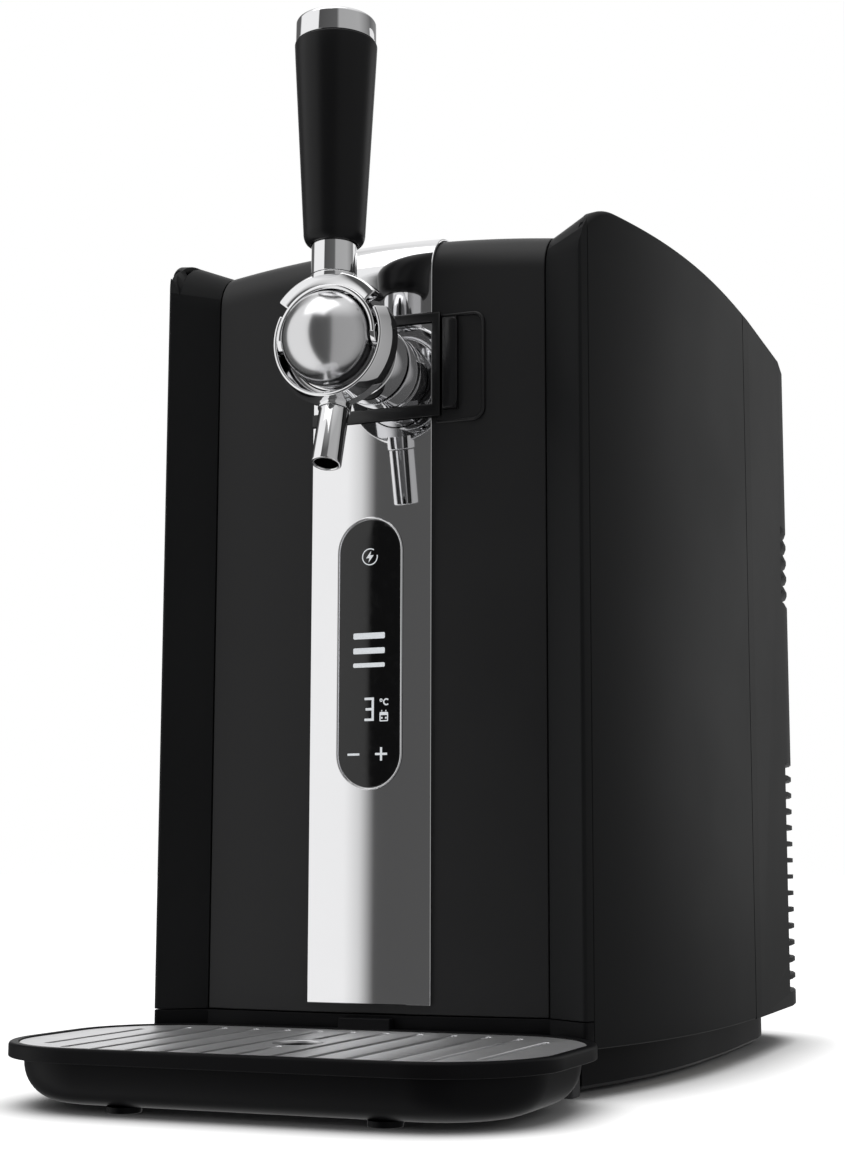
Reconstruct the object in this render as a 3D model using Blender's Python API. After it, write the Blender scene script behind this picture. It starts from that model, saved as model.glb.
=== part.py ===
# Countertop beer dispenser for small kegs: cooled cabinet, swinging front with tap, drip tray.
# Metres, +Z up. The front faces -Y. Depths are counted from the side edges of the front panel.

import math

import bmesh
import bpy
import numpy as np
from mathutils import Matrix, Vector

for old in list(bpy.data.objects):
    bpy.data.objects.remove(old, do_unlink=True)

# Fits
GAP = 0.0003
OVERRUN = 0.004
STEP_RUN = 0.00005
AXIS_NEAR = 0.0001

# Body outline seen from above
RIDGE_X = 0.104
RIDGE_Y = -0.0141
WIDEST_X = 0.1325
WIDEST_Y = 0.195
BODY_BACK = 0.354
REAR_TAPER = 0.005
SIDE_SWELL_POWER = 2.9
REAR_ROUND_POWER = 6
SEAM_Y = 0.182

# Body heights
SHELL_BOTTOM = 0.0209
SHELL_TOP = 0.3935
TOP_EDGE_RADIUS = 0.003
RIDGE_ARC_RADIUS = 0.027
SHELL_WALL = 0.003
SHELL_LEDGE = 0.024
LEDGE_START_Y = 0.0322
LEDGE_STUB = 0.0002
LID_FRONT = 0.0286
LID_LIP = 0.0028
VALLEY_LENGTH = 0.120
FASCIA_BACK = 0.0318

# Front panel and cheeks of the door
PANEL_X = 0.08375
PANEL_BULGE = 0.004
PANEL_RADIUS = 0.020
PANEL_EDGE_TOP = 0.3865
PANEL_CROWN = 0.0045
PANEL_BACK = 0.0022
PANEL_SEAM = 0.0006
PANEL_TOP_WALL = 0.0027
CHEEK_TOP_SLOPE = (SHELL_TOP - PANEL_EDGE_TOP) / (RIDGE_X - PANEL_X)
DOOR_BOTTOM = 0.0328
DOOR_BACK = 0.028
DOOR_FLOOR_WALL = 0.0025
DOOR_WALL = 0.0038
DOOR_LINER_WALL = 0.004
NOSE_TURN_SHARES = (0.12, 0.37, 0.62, 0.87, 1.0)
NOSE_ENTRY_SHARES = (0.05,)
NOSE_RADIUS = 0.0016
DOOR_EDGE_RIGHT_Y = -0.0085
DOOR_EDGE_LEFT_Y = -0.0103
DOOR_HINGE_SIDE_X = 0.1002

# Door hinge
HINGE_X = -0.103
HINGE_Y = -0.0075
FREE_EDGE_INSET = 0.0018
SWING_RADIUS = RIDGE_X - HINGE_X - FREE_EDGE_INSET
SWING_CLEARANCE = 0.0005
KNUCKLE_RADIUS = 0.0023
HINGE_PIN_RADIUS = 0.0012
HINGE_BORE_PLAY = 0.0001
HINGE_HEIGHTS = {"lower": 0.078, "upper": 0.318}
KNUCKLE_HEIGHT = 0.012
HINGE_LEAF_WALL = 0.0015
HINGE_FLANGE_WALL = 0.0011
HINGE_FLANGE_WIDTH = 0.0028

# Frame round the keg chamber
FRAME_FRONT = 0.0296
FRAME_WALL = 0.0029
FRAME_OPENING_X = 0.0955
FRAME_OPENING_LOW = 0.038
FRAME_OPENING_HIGH = 0.352
FRAME_TOP = 0.3835
JAMB_FRONT_RIGHT_Y = -0.0035
SHELL_FRONT_RIGHT_Y = -0.008
SHELL_FRONT_LEFT_Y = -0.0038
CATCH_WIDTH = 0.0026
CATCH_HEIGHT = 0.100
CATCH_MIDDLE_Z = 0.200
CATCH_WALL = 0.0008
GASKET_WIDTH = 0.003
GASKET_WALL = 0.001

# Keg chamber
LINER_X = 0.0960
LINER_WALL = 0.002
LINER_BACK = 0.235
LINER_LOW = 0.0350
LINER_HIGH = 0.358
JACKET_TOP = 0.370
JACKET_INSET = 0.0045
JACKET_LOW = 0.0242

# Cooling unit behind the chamber
COOLER_Z = 0.115
COLD_PLATE_SIDE = 0.070
COLD_PLATE_WALL = 0.006
PELTIER_SIDE = 0.040
PELTIER_WALL = 0.0038
JACKET_BACK = LINER_BACK + COLD_PLATE_WALL + GAP + PELTIER_WALL
SINK_SIDE = 0.092
SINK_BASE = 0.006
SINK_DEPTH = 0.026
SINK_FINS = 11
SINK_FIN_WALL = 0.0016
FAN_DEPTH = 0.025
FAN_BORE_RADIUS = 0.043
FAN_RIM = 0.0035
FAN_HUB_RADIUS = 0.017
FAN_HUB_DEPTH = 0.015
FAN_BLADES = 7
FAN_BLADE_WALL = 0.0016
FAN_BLADE_CHORD = 0.021
FAN_BLADE_PITCH = math.radians(38)
FAN_TIP_PLAY = 0.002
FAN_STRUT_WIDTH = 0.005
FAN_STRUT_WALL = 0.003
FAN_PIN_RADIUS = 0.002
FAN_PIN_START = 0.010
WINDOW_PLAY = 0.001

# Air supply to the keg
COUPLER_Y = 0.130
COUPLER_RADIUS = 0.024
COUPLER_DEPTH = 0.020
COUPLER_WALL = 0.004
COUPLER_STEM_RADIUS = 0.005
COUPLER_STEM_TOP = 0.3765
BARB_Z = 0.3735
BARB_RADIUS = 0.0022
BARB_LENGTH = 0.012
HOSE_RADIUS = 0.0025
HOSE_POINTS = 44
HOSE_DROP_TOP = 0.31
HOSE_DROP_SHARES = (1, 0.75, 0.5, 0.25, 0)
HOSE_TURNS = (
    (0, 0.163, 0),
    (-0.012, 0.187, 0),
    (-0.034, 0.211, 0),
    (-0.052, 0.233, 0),
    (-0.060, 0.252, 0.0007),
    (-0.062, 0.2705, 0.0155),
    (-0.062, 0.2785, 0.0405),
)
PUMP_X = -0.076
PUMP_Y = 0.290
PUMP_WIDTH = 0.040
PUMP_DEPTH = 0.034
PUMP_HEIGHT = 0.026
PUMP_MOTOR_RADIUS = 0.013
PUMP_MOTOR_HEIGHT = 0.032
PUMP_BARB_HEIGHT = 0.010
PUMP_BARB_ACROSS = 0.014
PUMP_BARB_ALONG = -0.011

# Electrics
BOARD_X = 0.070
BOARD_WALL = 0.0016
BOARD_LENGTH = 0.070
BOARD_HEIGHT = 0.085
BOARD_Y = 0.290
BOARD_FOOT = 0.010
BOARD_BLOCK = 0.022
BOARD_BLOCK_HEIGHT = 0.028
BOARD_BLOCK_SHARES = (0.28, 0.72)
INLET_X = -0.055
SWITCH_X = -0.010
INLET_Z = 0.205
INLET_WIDTH = 0.032
FLANGE_LIP = 0.002
INLET_HEIGHT = 0.024
INLET_SOCKET_WIDTH = 0.025
INLET_SOCKET_HEIGHT = 0.0165
INLET_SOCKET_DEPTH = 0.015
INLET_DEPTH = 0.021
INLET_BLADE_WIDTH = 0.002
INLET_BLADE_HEIGHT = 0.004
INLET_BLADE_LENGTH = 0.010
INLET_BLADE_PITCH = 0.007
INLET_BLADE_SHARES = ((-1, -0.25), (0, 0.45), (1, -0.25))
SWITCH_WIDTH = 0.019
SWITCH_HEIGHT = 0.024
SWITCH_RIM = 0.0022
SWITCH_DEPTH = 0.014
RECESS_DEPTH = 0.0018
ROCKER_TILT = math.radians(8)
ROCKER_PIN_RADIUS = 0.001
ROCKER_PLAY = 0.0010

# Rear vents
VENT_PITCH = 0.0093
VENT_SLOT = 0.0068
VENT_COUNT = 14
VENT_LOW = 0.0288
LOUVRE_COUNT = 5
LOUVRE_LOW = 0.249
VENT_START_Y = 0.2765
VENT_RIB_WALL = 0.0025
VENT_RIB_DEPTH = 0.004
VENT_RIB_SHARES = (-0.55, 0.0, 0.55)

# Plinth and feet
PLINTH_INSET = 0.018
PLINTH_FRONT = 0.010
PLINTH_BOTTOM = 0.002
PLINTH_TOP = 0.0206
PLINTH_FLOOR = 0.004
PLINTH_WALL = 0.004
PLINTH_EDGE = 0.0015
FOOT_EDGE_SHARE = 0.15
FOOT_RADIUS = 0.009
REAR_FOOT_X = 0.080
REAR_FOOT_Y = 0.290
FRONT_FOOT_X = 0.091
FRONT_FOOT_Y = -0.0018
FRONT_FOOT_WIDTH = 0.010
FRONT_FOOT_DEPTH = 0.011
FASCIA_TOP = 0.0323

# Chrome strip down the front
STRIP_X = 0.0301
STRIP_PROUD = 0.002
STRIP_TOP_PROUD = 0.0012
STRIP_BOTTOM = 0.037
STRIP_FRONT = -PANEL_BULGE - STRIP_PROUD

# Black frame round the tap, with the pocket of the door pull
BAR_FRONT = -0.0064
BAR_BACK = -0.0043
BAR_UPPER_HIGH = 0.3503
BAR_UPPER_LOW = 0.3462
BAR_LOWER_HIGH = 0.3072
BAR_LOWER_LOW = 0.3016
BAR_UPRIGHT_LEFT = 0.0306
BAR_UPRIGHT_RIGHT = 0.0343
CUP_LEFT = 0.0310
POCKET_RIGHT = 0.0537
POCKET_LOW = 0.3001
POCKET_HIGH = 0.3483
POCKET_WALL = 0.0015
POCKET_FLOOR = 0.0105
POCKET_RIM = -0.0037
PULL_LEFT = 0.0356
PULL_RIGHT = 0.0424
PULL_LOW = 0.3046
PULL_HIGH = 0.3476
PULL_FRONT = -0.0061
PULL_WALL = 0.0032
PULL_AXIS_X = 0.0362
PULL_AXIS_Y = -0.0024
PULL_BARREL_RADIUS = 0.0016
PULL_PIN_RADIUS = 0.0007
PULL_PLAY = 0.00005
TAP_PLATE_WALL = 0.0012

# Display
PILL_X = 0.0152
PILL_LOW = 0.1328
PILL_HIGH = 0.2557
PILL_FRONT = -0.0063
GLASS_WALL = 0.0018
BEZEL_WIDTH = 0.0008
BEZEL_WALL = 0.0005
DISPLAY_BOARD_X = 0.0125
DISPLAY_BOARD_END = 0.008
DISPLAY_BOARD_WALL = 0.0016
DISPLAY_CHIP = 0.008

# Tap
BALL_RADIUS = 0.0213
BALL_Y = -0.051
TAP_Z = 0.3288
BALL_BACK = -0.0446
COLLAR_OUTER = 0.029
COLLAR_RIM_RADIUS = 0.0262
COLLAR_SHOULDER_Y = -0.0475
COLLAR_INNER = 0.0247
COLLAR_FRONT = -0.054
COLLAR_DISC_FRONT = -0.0443
COLLAR_BACK = -0.0412
COLLAR_END_ANGLE = math.radians(28)
SHANK_RADIUS = 0.0188
SHANK_END_RADIUS = 0.0168
SHANK_NECK_RADIUS = 0.0115
SHANK_BORE_RADIUS = 0.006
SHANK_BACK = 0.012
SHANK_SEAM_Y = -0.020
SHANK_GROOVE = 0.0007
NUT_RADIUS = 0.0175
NUT_WALL = 0.005
YOKE_INNER = 0.0217
YOKE_OUTER = 0.0238
YOKE_HALF_WIDTH = 0.005
COLLAR_OPENING_DEPTH = 0.0022
HOOD_OUTER = 0.030
HOOD_FRONT = -0.055
HOOD_BACK = -0.043
HOOD_END_ANGLE = math.radians(38)
HOOD_TOP = 0.3587
HOOD_BOSS = 0.0022
PIVOT_RADIUS = 0.0028
PIVOT_PLAY = 0.0002
STEM_RADIUS = 0.0102
STEM_Y = -0.047
STEM_SHOWN = 0.0143
STEM_IN_GRIP = 0.0065
GRIP_HEIGHT = 0.0941
GRIP_LOWER_RADIUS = 0.01385
GRIP_UPPER_RADIUS = 0.01875
GRIP_ROUNDING = 0.005
CAP_RADIUS = 0.01825
CAP_HEIGHT = 0.0121
CAP_DOME = 0.0016
CAP_EDGE = 0.0026
SPOUT_ROOT_Y = -0.0437
SPOUT_ROOT_Z = 0.3039
SPOUT_TILT = math.radians(16.6)
SPOUT_START = 0.0070
SPOUT_END = 0.0333
SPOUT_RADIUS = 0.00675
SPOUT_BORE_RADIUS = 0.00525
SPOUT_BORE_REACH = 0.022
SPOUT_BOSS_RADIUS = 0.0074
SPOUT_BOSS_START = 0.0005
PLUNGER_RADIUS = 0.0057
PLUNGER_FRONT = -0.0441
PLUNGER_BACK = -0.0385
PLUNGER_TRAVEL = 0.003

# Drip tray
TRAY_X = 0.120
TRAY_FRONT = -0.1376
TRAY_BACK = -0.0064
TRAY_CORNER = 0.049
TRAY_RIM_TOP = 0.0265
TRAY_RIM_HEIGHT = 0.006
TRAY_RIM_WIDTH = 0.004
TRAY_BOWL_INSET = 0.0065
TRAY_BOWL_ROUNDING = 0.016
TRAY_BOWL_BOTTOM = 0.0025
TRAY_WALL = 0.002
TRAY_FOOT_X = 0.057
TRAY_FOOT_Y = 0.042
TRAY_FOOT_RADIUS = 0.007
TRAY_LEDGE = 0.003
TAB_X = 0.0125
TAB_TOP = 0.031
GRATE_WALL = 0.0012
GRATE_DROP = 0.0006
GRATE_SLOT_PITCH = 0.0158
GRATE_SLOT_WIDTH = 0.0034
GRATE_SLOT_ROWS = 6
GRATE_SLOT_FRONT = -0.1305
GRATE_SLOT_BACK = -0.0195
GRATE_SIDE_MARGIN = 0.013
GRATE_HOLE_RADIUS = 0.0105
GRATE_HOLE_Y = -0.0745
GRATE_HOLE_MARGIN = 0.005

# Counts of points on round shapes
ROUND_STEPS = 32
SMALL_ROUND_STEPS = 16
ARC_STEPS = 6
CORNER_STEPS = 6
NUT_SIDES = 6

BODY_MIDDLE_Y = (TRAY_FRONT + BODY_BACK) / 2
ROOT = bpy.data.objects.new("dispenser", None)
ROOT.location = (0, -BODY_MIDDLE_Y, 0)
bpy.context.scene.collection.objects.link(ROOT)


def finish_of(name, colour, roughness, metallic=0.0):
    """A Principled finish for one kind of piece."""
    material = bpy.data.materials.new(name)
    material.use_nodes = True
    shader = material.node_tree.nodes["Principled BSDF"]
    shader.inputs["Base Color"].default_value = (*colour, 1)
    shader.inputs["Roughness"].default_value = roughness
    shader.inputs["Metallic"].default_value = metallic
    return material


BLACK_SHELL = finish_of("black_shell", (0.021, 0.022, 0.023), 0.48)
BLACK_PANEL = finish_of("black_panel", (0.018, 0.018, 0.019), 0.42)
BLACK_BASE = finish_of("black_base", (0.012, 0.012, 0.013), 0.55)
BLACK_TRIM = finish_of("black_trim", (0.008, 0.008, 0.009), 0.35)
BLACK_GRIP = finish_of("black_grip", (0.011, 0.011, 0.012), 0.4)
GREY_FOOT = finish_of("grey_foot", (0.09, 0.09, 0.095), 0.75)
CHROME = finish_of("chrome", (0.82, 0.82, 0.83), 0.08, 1.0)
SATIN_STEEL = finish_of("satin_steel", (0.62, 0.62, 0.63), 0.28, 1.0)
ALUMINIUM = finish_of("aluminium", (0.70, 0.71, 0.72), 0.38, 1.0)
GLASS_BLACK = finish_of("display_black", (0.004, 0.004, 0.005), 0.06)
LINER_GREY = finish_of("liner_grey", (0.30, 0.31, 0.32), 0.45)
FOAM_CREAM = finish_of("foam_cream", (0.72, 0.68, 0.56), 0.9)
RUBBER_BLACK = finish_of("rubber_black", (0.014, 0.014, 0.014), 0.8)
BOARD_GREEN = finish_of("board_green", (0.03, 0.15, 0.06), 0.5)
CERAMIC_WHITE = finish_of("ceramic_white", (0.80, 0.80, 0.77), 0.5)
HOSE_CLEAR = finish_of("hose_silicone", (0.62, 0.64, 0.64), 0.35)


def new_object(name, shape, material):
    """A mesh object of a shape, points and faces in the dispenser's own frame."""
    points, faces = shape
    mesh = bpy.data.meshes.new(name)
    mesh.from_pydata([tuple(float(value) for value in point) for point in points], [], faces)
    form = bmesh.new()
    form.from_mesh(mesh)
    bmesh.ops.recalc_face_normals(form, faces=form.faces)
    form.to_mesh(mesh)
    form.free()
    if material:
        mesh.materials.append(material)
    obj = bpy.data.objects.new(name, mesh)
    bpy.context.scene.collection.objects.link(obj)
    obj.parent = ROOT
    return obj


def piece(name, shape, material, axis_point=(0, 0, 0), smooth=False):
    """A named piece. Its origin goes to a point on the axis that it moves about."""
    obj = new_object(name, shape, material)
    if smooth:
        obj.data.shade_smooth()
        obj.data.set_sharp_from_angle(angle=math.radians(35))
    obj.data.transform(Matrix.Translation(-Vector(axis_point)))
    obj.location = axis_point
    return obj


def shape_with(obj, shape, operation, label):
    """Cuts a shape from a piece, or joins it on, or keeps what both share."""
    tool = new_object(f"{obj.name}_{label}", shape, None)
    tool.hide_render = True
    tool.display_type = "WIRE"
    modifier = obj.modifiers.new(label, "BOOLEAN")
    modifier.operation = operation
    modifier.object = tool
    modifier.solver = "EXACT"


def cut(obj, shape, label):
    shape_with(obj, shape, "DIFFERENCE", label)


def join(obj, shape, label):
    shape_with(obj, shape, "UNION", label)


def box(low, high):
    """A block between two corners."""
    (x0, y0, z0), (x1, y1, z1) = low, high
    ring = [(x0, y0), (x1, y0), (x1, y1), (x0, y1)]
    return prism(ring, z0, z1)


def prism(ring, low, high):
    """A plan outline raised from low to high."""
    count = len(ring)
    points = [(x, y, z) for z in (low, high) for x, y in ring]
    sides = [(i, (i + 1) % count, (i + 1) % count + count, i + count) for i in range(count)]
    return points, [*sides, tuple(range(count))[::-1], tuple(range(count, 2 * count))]


def front_prism(ring, near, far):
    """An outline of (x, z) points carried in depth from near to far."""
    points, faces = prism(ring, near, far)
    return [(x, y, z) for x, z, y in points], [face[::-1] for face in faces]


def side_prism(ring, left, right):
    """An outline of (y, z) points carried across from left to right."""
    points, faces = prism(ring, left, right)
    return [(x, y, z) for y, z, x in points], faces


def loft(rings, closed=False):
    """Rings of the same number of points joined in order, with flat ends unless the loft closes."""
    count = len(rings[0])
    points = [point for ring in rings for point in ring]
    last = len(rings) if closed else len(rings) - 1
    faces = []
    for row in range(last):
        here = row * count
        there = (row + 1) % len(rings) * count
        for i in range(count):
            j = (i + 1) % count
            faces.append((here + i, here + j, there + j, there + i))
    if not closed:
        faces.append(tuple(range(count))[::-1])
        faces.append(tuple(range(len(points) - count, len(points))))
    return points, faces


def turned(profile, steps, closed=False, place=None):
    """A profile of (radius, height) points turned about Z, then placed."""
    angles = [2 * math.pi * step / steps for step in range(steps)]
    rings = [[(r * math.cos(a), r * math.sin(a), h) for a in angles] for r, h in profile]
    points, faces = loft(rings, closed)
    if place:
        points = [tuple(place @ Vector(point)) for point in points]
    return points, faces


def along_y(x, y, z):
    """Stands a turned shape's height along +Y from a point."""
    return Matrix.Translation((x, y, z)) @ Matrix.Rotation(-math.pi / 2, 4, "X")


def along_x(x, y, z):
    """Stands a turned shape's height along +X from a point."""
    return Matrix.Translation((x, y, z)) @ Matrix.Rotation(math.pi / 2, 4, "Y")


def rod(radius, low, high, place, steps=SMALL_ROUND_STEPS):
    return turned([(radius, low), (radius, high)], steps, place=place)


def tube(inner, outer, low, high, place, steps=ROUND_STEPS):
    profile = [(inner, low), (outer, low), (outer, high), (inner, high)]
    return turned(profile, steps, closed=True, place=place)


def together(*shapes):
    """Several shapes that stand apart, as one."""
    points, faces = [], []
    for more_points, more_faces in shapes:
        start = len(points)
        points += list(more_points)
        faces += [tuple(index + start for index in face) for face in more_faces]
    return points, faces


def round_rectangle(half_x, low_y, high_y, radius, steps=CORNER_STEPS):
    """An outline with round corners, counter-clockwise from the right of its near side."""
    centres = [
        (half_x - radius, low_y + radius, -math.pi / 2),
        (half_x - radius, high_y - radius, 0),
        (radius - half_x, high_y - radius, math.pi / 2),
        (radius - half_x, low_y + radius, math.pi),
    ]
    ring = []
    for x, y, start in centres:
        for step in range(steps + 1):
            angle = start + math.pi / 2 * step / steps
            ring.append((x + radius * math.cos(angle), y + radius * math.sin(angle)))
    return ring


def pill(half_x, low_z, high_z, steps=SMALL_ROUND_STEPS):
    """An upright outline with half-round ends."""
    ring = []
    for centre, start in ((low_z + half_x, math.pi), (high_z - half_x, 0)):
        for step in range(steps + 1):
            angle = start + math.pi * step / steps
            ring.append((half_x * math.cos(angle), centre + half_x * math.sin(angle)))
    return ring


def mirrored(ring):
    return [(-x, y) for x, y in ring[::-1]]


def side_x(y, inset=0.0):
    """Half width of the body at a depth, drawn in by an inset."""
    widest = WIDEST_X - inset
    if y <= WIDEST_Y:
        along = (y - RIDGE_Y) / (WIDEST_Y - RIDGE_Y)
        return widest - (WIDEST_X - RIDGE_X) * (1 - along) ** SIDE_SWELL_POWER
    along = (y - WIDEST_Y) / (BODY_BACK - inset - WIDEST_Y)
    narrowing = (1 - along**REAR_ROUND_POWER) ** (1 / REAR_ROUND_POWER)
    return (widest - REAR_TAPER * along**2) * narrowing


def depths(near, far, steps):
    return [float(y) for y in np.linspace(near, far, steps + 1)]


def body_ring(inset, front, steps, rear_steps=9):
    """Plan outline of the body, drawn in by an inset, with a straight front edge."""
    half = [(side_x(y, inset), y) for y in depths(front, WIDEST_Y, steps)]
    depth = BODY_BACK - inset - WIDEST_Y
    for step in range(1, rear_steps):
        angle = math.pi / 2 * step / rear_steps
        along = math.sin(angle) ** (2 / REAR_ROUND_POWER)
        narrowing = math.cos(angle) ** (2 / REAR_ROUND_POWER)
        half.append(((WIDEST_X - inset - REAR_TAPER * along**2) * narrowing, WIDEST_Y + depth * along))
    return [*half, (0, BODY_BACK - inset), *mirrored(half)]


def swing_x(y, clearance=0.0):
    """Half width reached by the free edge of the door as it turns on its hinge."""
    return HINGE_X + math.sqrt((SWING_RADIUS + clearance) ** 2 - (y - HINGE_Y) ** 2)


def shell_top(y):
    """Height of the side shells, which curve down to the ridge at the front."""
    ahead = min(y - RIDGE_Y - RIDGE_ARC_RADIUS, 0)
    return SHELL_TOP - RIDGE_ARC_RADIUS + math.sqrt(RIDGE_ARC_RADIUS**2 - ahead**2)


def valley_share(y):
    """How much of the door's hollow top is left at a depth behind it."""
    along = min(max((y - DOOR_BACK) / VALLEY_LENGTH, 0), 1)
    return 1 - along**2 * (3 - 2 * along)


def skin_section(x):
    """Front depth, top height and top rounding of panel and cheeks at a width."""
    away = min(abs(x) / PANEL_X, 1)
    outward = max(abs(x) - PANEL_X, 0) / (RIDGE_X - PANEL_X)
    front = -PANEL_BULGE * (1 - away**2) + RIDGE_Y * outward
    top = PANEL_EDGE_TOP + PANEL_CROWN * (1 - away**2) + (SHELL_TOP - PANEL_EDGE_TOP) * outward
    radius = PANEL_RADIUS + (RIDGE_ARC_RADIUS - PANEL_RADIUS) * outward
    return front, top, radius


def skin_line(front, top, radius, bottom, back, steps=ARC_STEPS):
    """(y, z) points up the front, round the top edge and back along the top."""
    line = [(front, bottom)]
    for step in range(steps + 1):
        angle = math.pi / 2 * step / steps
        line.append((front + radius * (1 - math.cos(angle)), top - radius * (1 - math.sin(angle))))
    return [*line, (back, top)]


def nose_arc(edge_y, turn_shares):
    """Plan points round the ridge, at shares of its turn from the cheek to the side."""
    corner = Vector((RIDGE_X, RIDGE_Y))
    cheek = Vector((RIDGE_X - PANEL_X, RIDGE_Y)).normalized()
    flank = Vector((side_x(edge_y) - RIDGE_X, edge_y - RIDGE_Y)).normalized()
    turn = cheek.angle(flank)
    start = math.atan2(-cheek.x, cheek.y)
    centre = corner - cheek * NOSE_RADIUS * math.tan(turn / 2) + Vector((-cheek.y, cheek.x)) * NOSE_RADIUS
    points = []
    for share in turn_shares:
        angle = start + turn * share
        points.append((centre.x + NOSE_RADIUS * math.cos(angle), centre.y + NOSE_RADIUS * math.sin(angle)))
    return points


# Cabinet


def side_shell(name, side, front):
    """One side wall of the cabinet with its top flange and the ledge over the plinth."""
    stops = [*depths(front, LEDGE_START_Y, 6), *depths(LEDGE_START_Y + STEP_RUN, SEAM_Y, 9)]
    rings = []
    for y in stops:
        outer = side_x(y)
        top = shell_top(y)
        inner = swing_x(min(y, FRAME_FRONT), SWING_CLEARANCE)
        drop = (RIDGE_X - inner) * CHEEK_TOP_SLOPE * valley_share(y)
        ledge = SHELL_LEDGE if y > LEDGE_START_Y else SHELL_WALL + LEDGE_STUB
        section = [(inner, top - drop)]
        for step in range(4):
            angle = math.pi / 2 * step / 3
            run = TOP_EDGE_RADIUS * (1 - math.sin(angle))
            section.append((outer - run, top - TOP_EDGE_RADIUS * (1 - math.cos(angle))))
        section += [(outer, SHELL_BOTTOM), (outer - ledge, SHELL_BOTTOM)]
        section += [(outer - ledge, SHELL_BOTTOM + SHELL_WALL), (outer - SHELL_WALL, SHELL_BOTTOM + SHELL_WALL)]
        section += [(outer - SHELL_WALL, top - drop - SHELL_WALL), (inner, top - drop - SHELL_WALL)]
        rings.append([(side * x, y, z) for x, z in section])
    return piece(name, loft(rings), BLACK_SHELL, smooth=True)


def rear_cover():
    """The rear half of the cabinet with louvres, vents and the place of the power inlet."""
    front = SEAM_Y + GAP
    rings = []
    levels = [(0, SHELL_BOTTOM)]
    for step in range(4):
        angle = math.pi / 2 * step / 3
        inset = TOP_EDGE_RADIUS * (1 - math.cos(angle))
        levels.append((inset, SHELL_TOP - TOP_EDGE_RADIUS * (1 - math.sin(angle))))
    for inset, z in levels:
        rings.append([(x, y, z) for x, y in body_ring(inset, front, 1)])
    cover = piece("rear_cover", loft(rings), BLACK_SHELL, smooth=True)
    inner_levels = [
        (SHELL_LEDGE, SHELL_BOTTOM - OVERRUN),
        (SHELL_LEDGE, SHELL_BOTTOM + SHELL_WALL),
        (SHELL_WALL, SHELL_BOTTOM + SHELL_WALL),
        (SHELL_WALL, SHELL_TOP - SHELL_WALL),
    ]
    inner = [[(x, y, z) for x, y in body_ring(inset, front - OVERRUN, 1)] for inset, z in inner_levels]
    cut(cover, loft(inner), "inside")
    slots = []
    for low, count in ((VENT_LOW, VENT_COUNT), (LOUVRE_LOW, LOUVRE_COUNT)):
        for row in range(count):
            z = low + row * VENT_PITCH
            slots.append(box((-WIDEST_X, VENT_START_Y, z), (WIDEST_X, BODY_BACK + OVERRUN, z + VENT_SLOT)))
    cut(cover, together(*slots), "vents")
    ribs = []
    for low, count in ((VENT_LOW, VENT_COUNT), (LOUVRE_LOW, LOUVRE_COUNT)):
        for share in VENT_RIB_SHARES:
            x = share * WIDEST_X
            near = BODY_BACK - SHELL_WALL - VENT_RIB_DEPTH
            far = BODY_BACK - SHELL_WALL / 2
            high = low + count * VENT_PITCH
            ribs.append(box((x - VENT_RIB_WALL / 2, near, low - OVERRUN), (x + VENT_RIB_WALL / 2, far, high)))
    join(cover, together(*ribs), "ribs")
    recess = box(
        (INLET_X - INLET_WIDTH / 2 - GAP, BODY_BACK - RECESS_DEPTH, INLET_Z - INLET_HEIGHT / 2 - GAP),
        (SWITCH_X + SWITCH_WIDTH / 2 + GAP, BODY_BACK + OVERRUN, INLET_Z + INLET_HEIGHT / 2 + GAP),
    )
    cut(cover, recess, "inlet_recess")
    holes = []
    for x, width, height in ((INLET_X, INLET_WIDTH, INLET_HEIGHT), (SWITCH_X, SWITCH_WIDTH, SWITCH_HEIGHT)):
        half_x = width / 2 - FLANGE_LIP + GAP
        half_z = height / 2 - FLANGE_LIP + GAP
        near = BODY_BACK - SHELL_WALL - OVERRUN
        holes.append(box((x - half_x, near, INLET_Z - half_z), (x + half_x, BODY_BACK, INLET_Z + half_z)))
    cut(cover, together(*holes), "inlet_holes")
    return cover


def top_cover():
    """The lid plate behind the door, hollow like the door's top at the front and level at the rear."""
    half = swing_x(FRAME_FRONT, SWING_CLEARANCE) - GAP
    stops = [LID_FRONT, LID_FRONT + LID_LIP, LID_FRONT + LID_LIP + STEP_RUN]
    stops += depths(LID_FRONT + LID_LIP + VALLEY_LENGTH / 6, SEAM_Y, 6)
    widths = [*depths(-half, -PANEL_X, 1), *depths(-PANEL_X, PANEL_X, 8)[1:], half]
    rings = []
    for y in stops:
        share = valley_share(y)
        upper = [SHELL_TOP - (SHELL_TOP - skin_section(x)[1]) * share for x in widths]
        lip = y <= LID_FRONT + LID_LIP
        lower = [FRAME_TOP + GAP if lip else z - SHELL_WALL for z in upper]
        top_line = [(x, y, z) for x, z in zip(widths, upper)]
        under_line = [(x, y, z) for x, z in zip(widths, lower)]
        rings.append([*top_line, *under_line[::-1]])
    return piece("top_cover", loft(rings), BLACK_SHELL, smooth=True)


def front_fascia():
    """The strip of the front under the door, with the lower ends of the two cheeks."""
    turns = (0, 0.25, 0.5, 0.75, 1)
    bow = [(x, skin_section(x)[0]) for x in depths(0, PANEL_X, 6)]
    inset = SHELL_WALL + 2 * GAP

    def half(edge):
        outer = [*bow, *nose_arc(edge, turns), (side_x(edge), edge), (side_x(edge) - inset, edge)]
        return outer + [(side_x(y) - inset, y) for y in depths(edge + GAP, FASCIA_BACK, 4)]

    right = half(SHELL_FRONT_RIGHT_Y - GAP)
    left = mirrored(half(SHELL_FRONT_LEFT_Y - GAP))[:-1]
    return piece("front_fascia", prism([*right, *left], SHELL_BOTTOM, FASCIA_TOP), BLACK_BASE)


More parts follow.
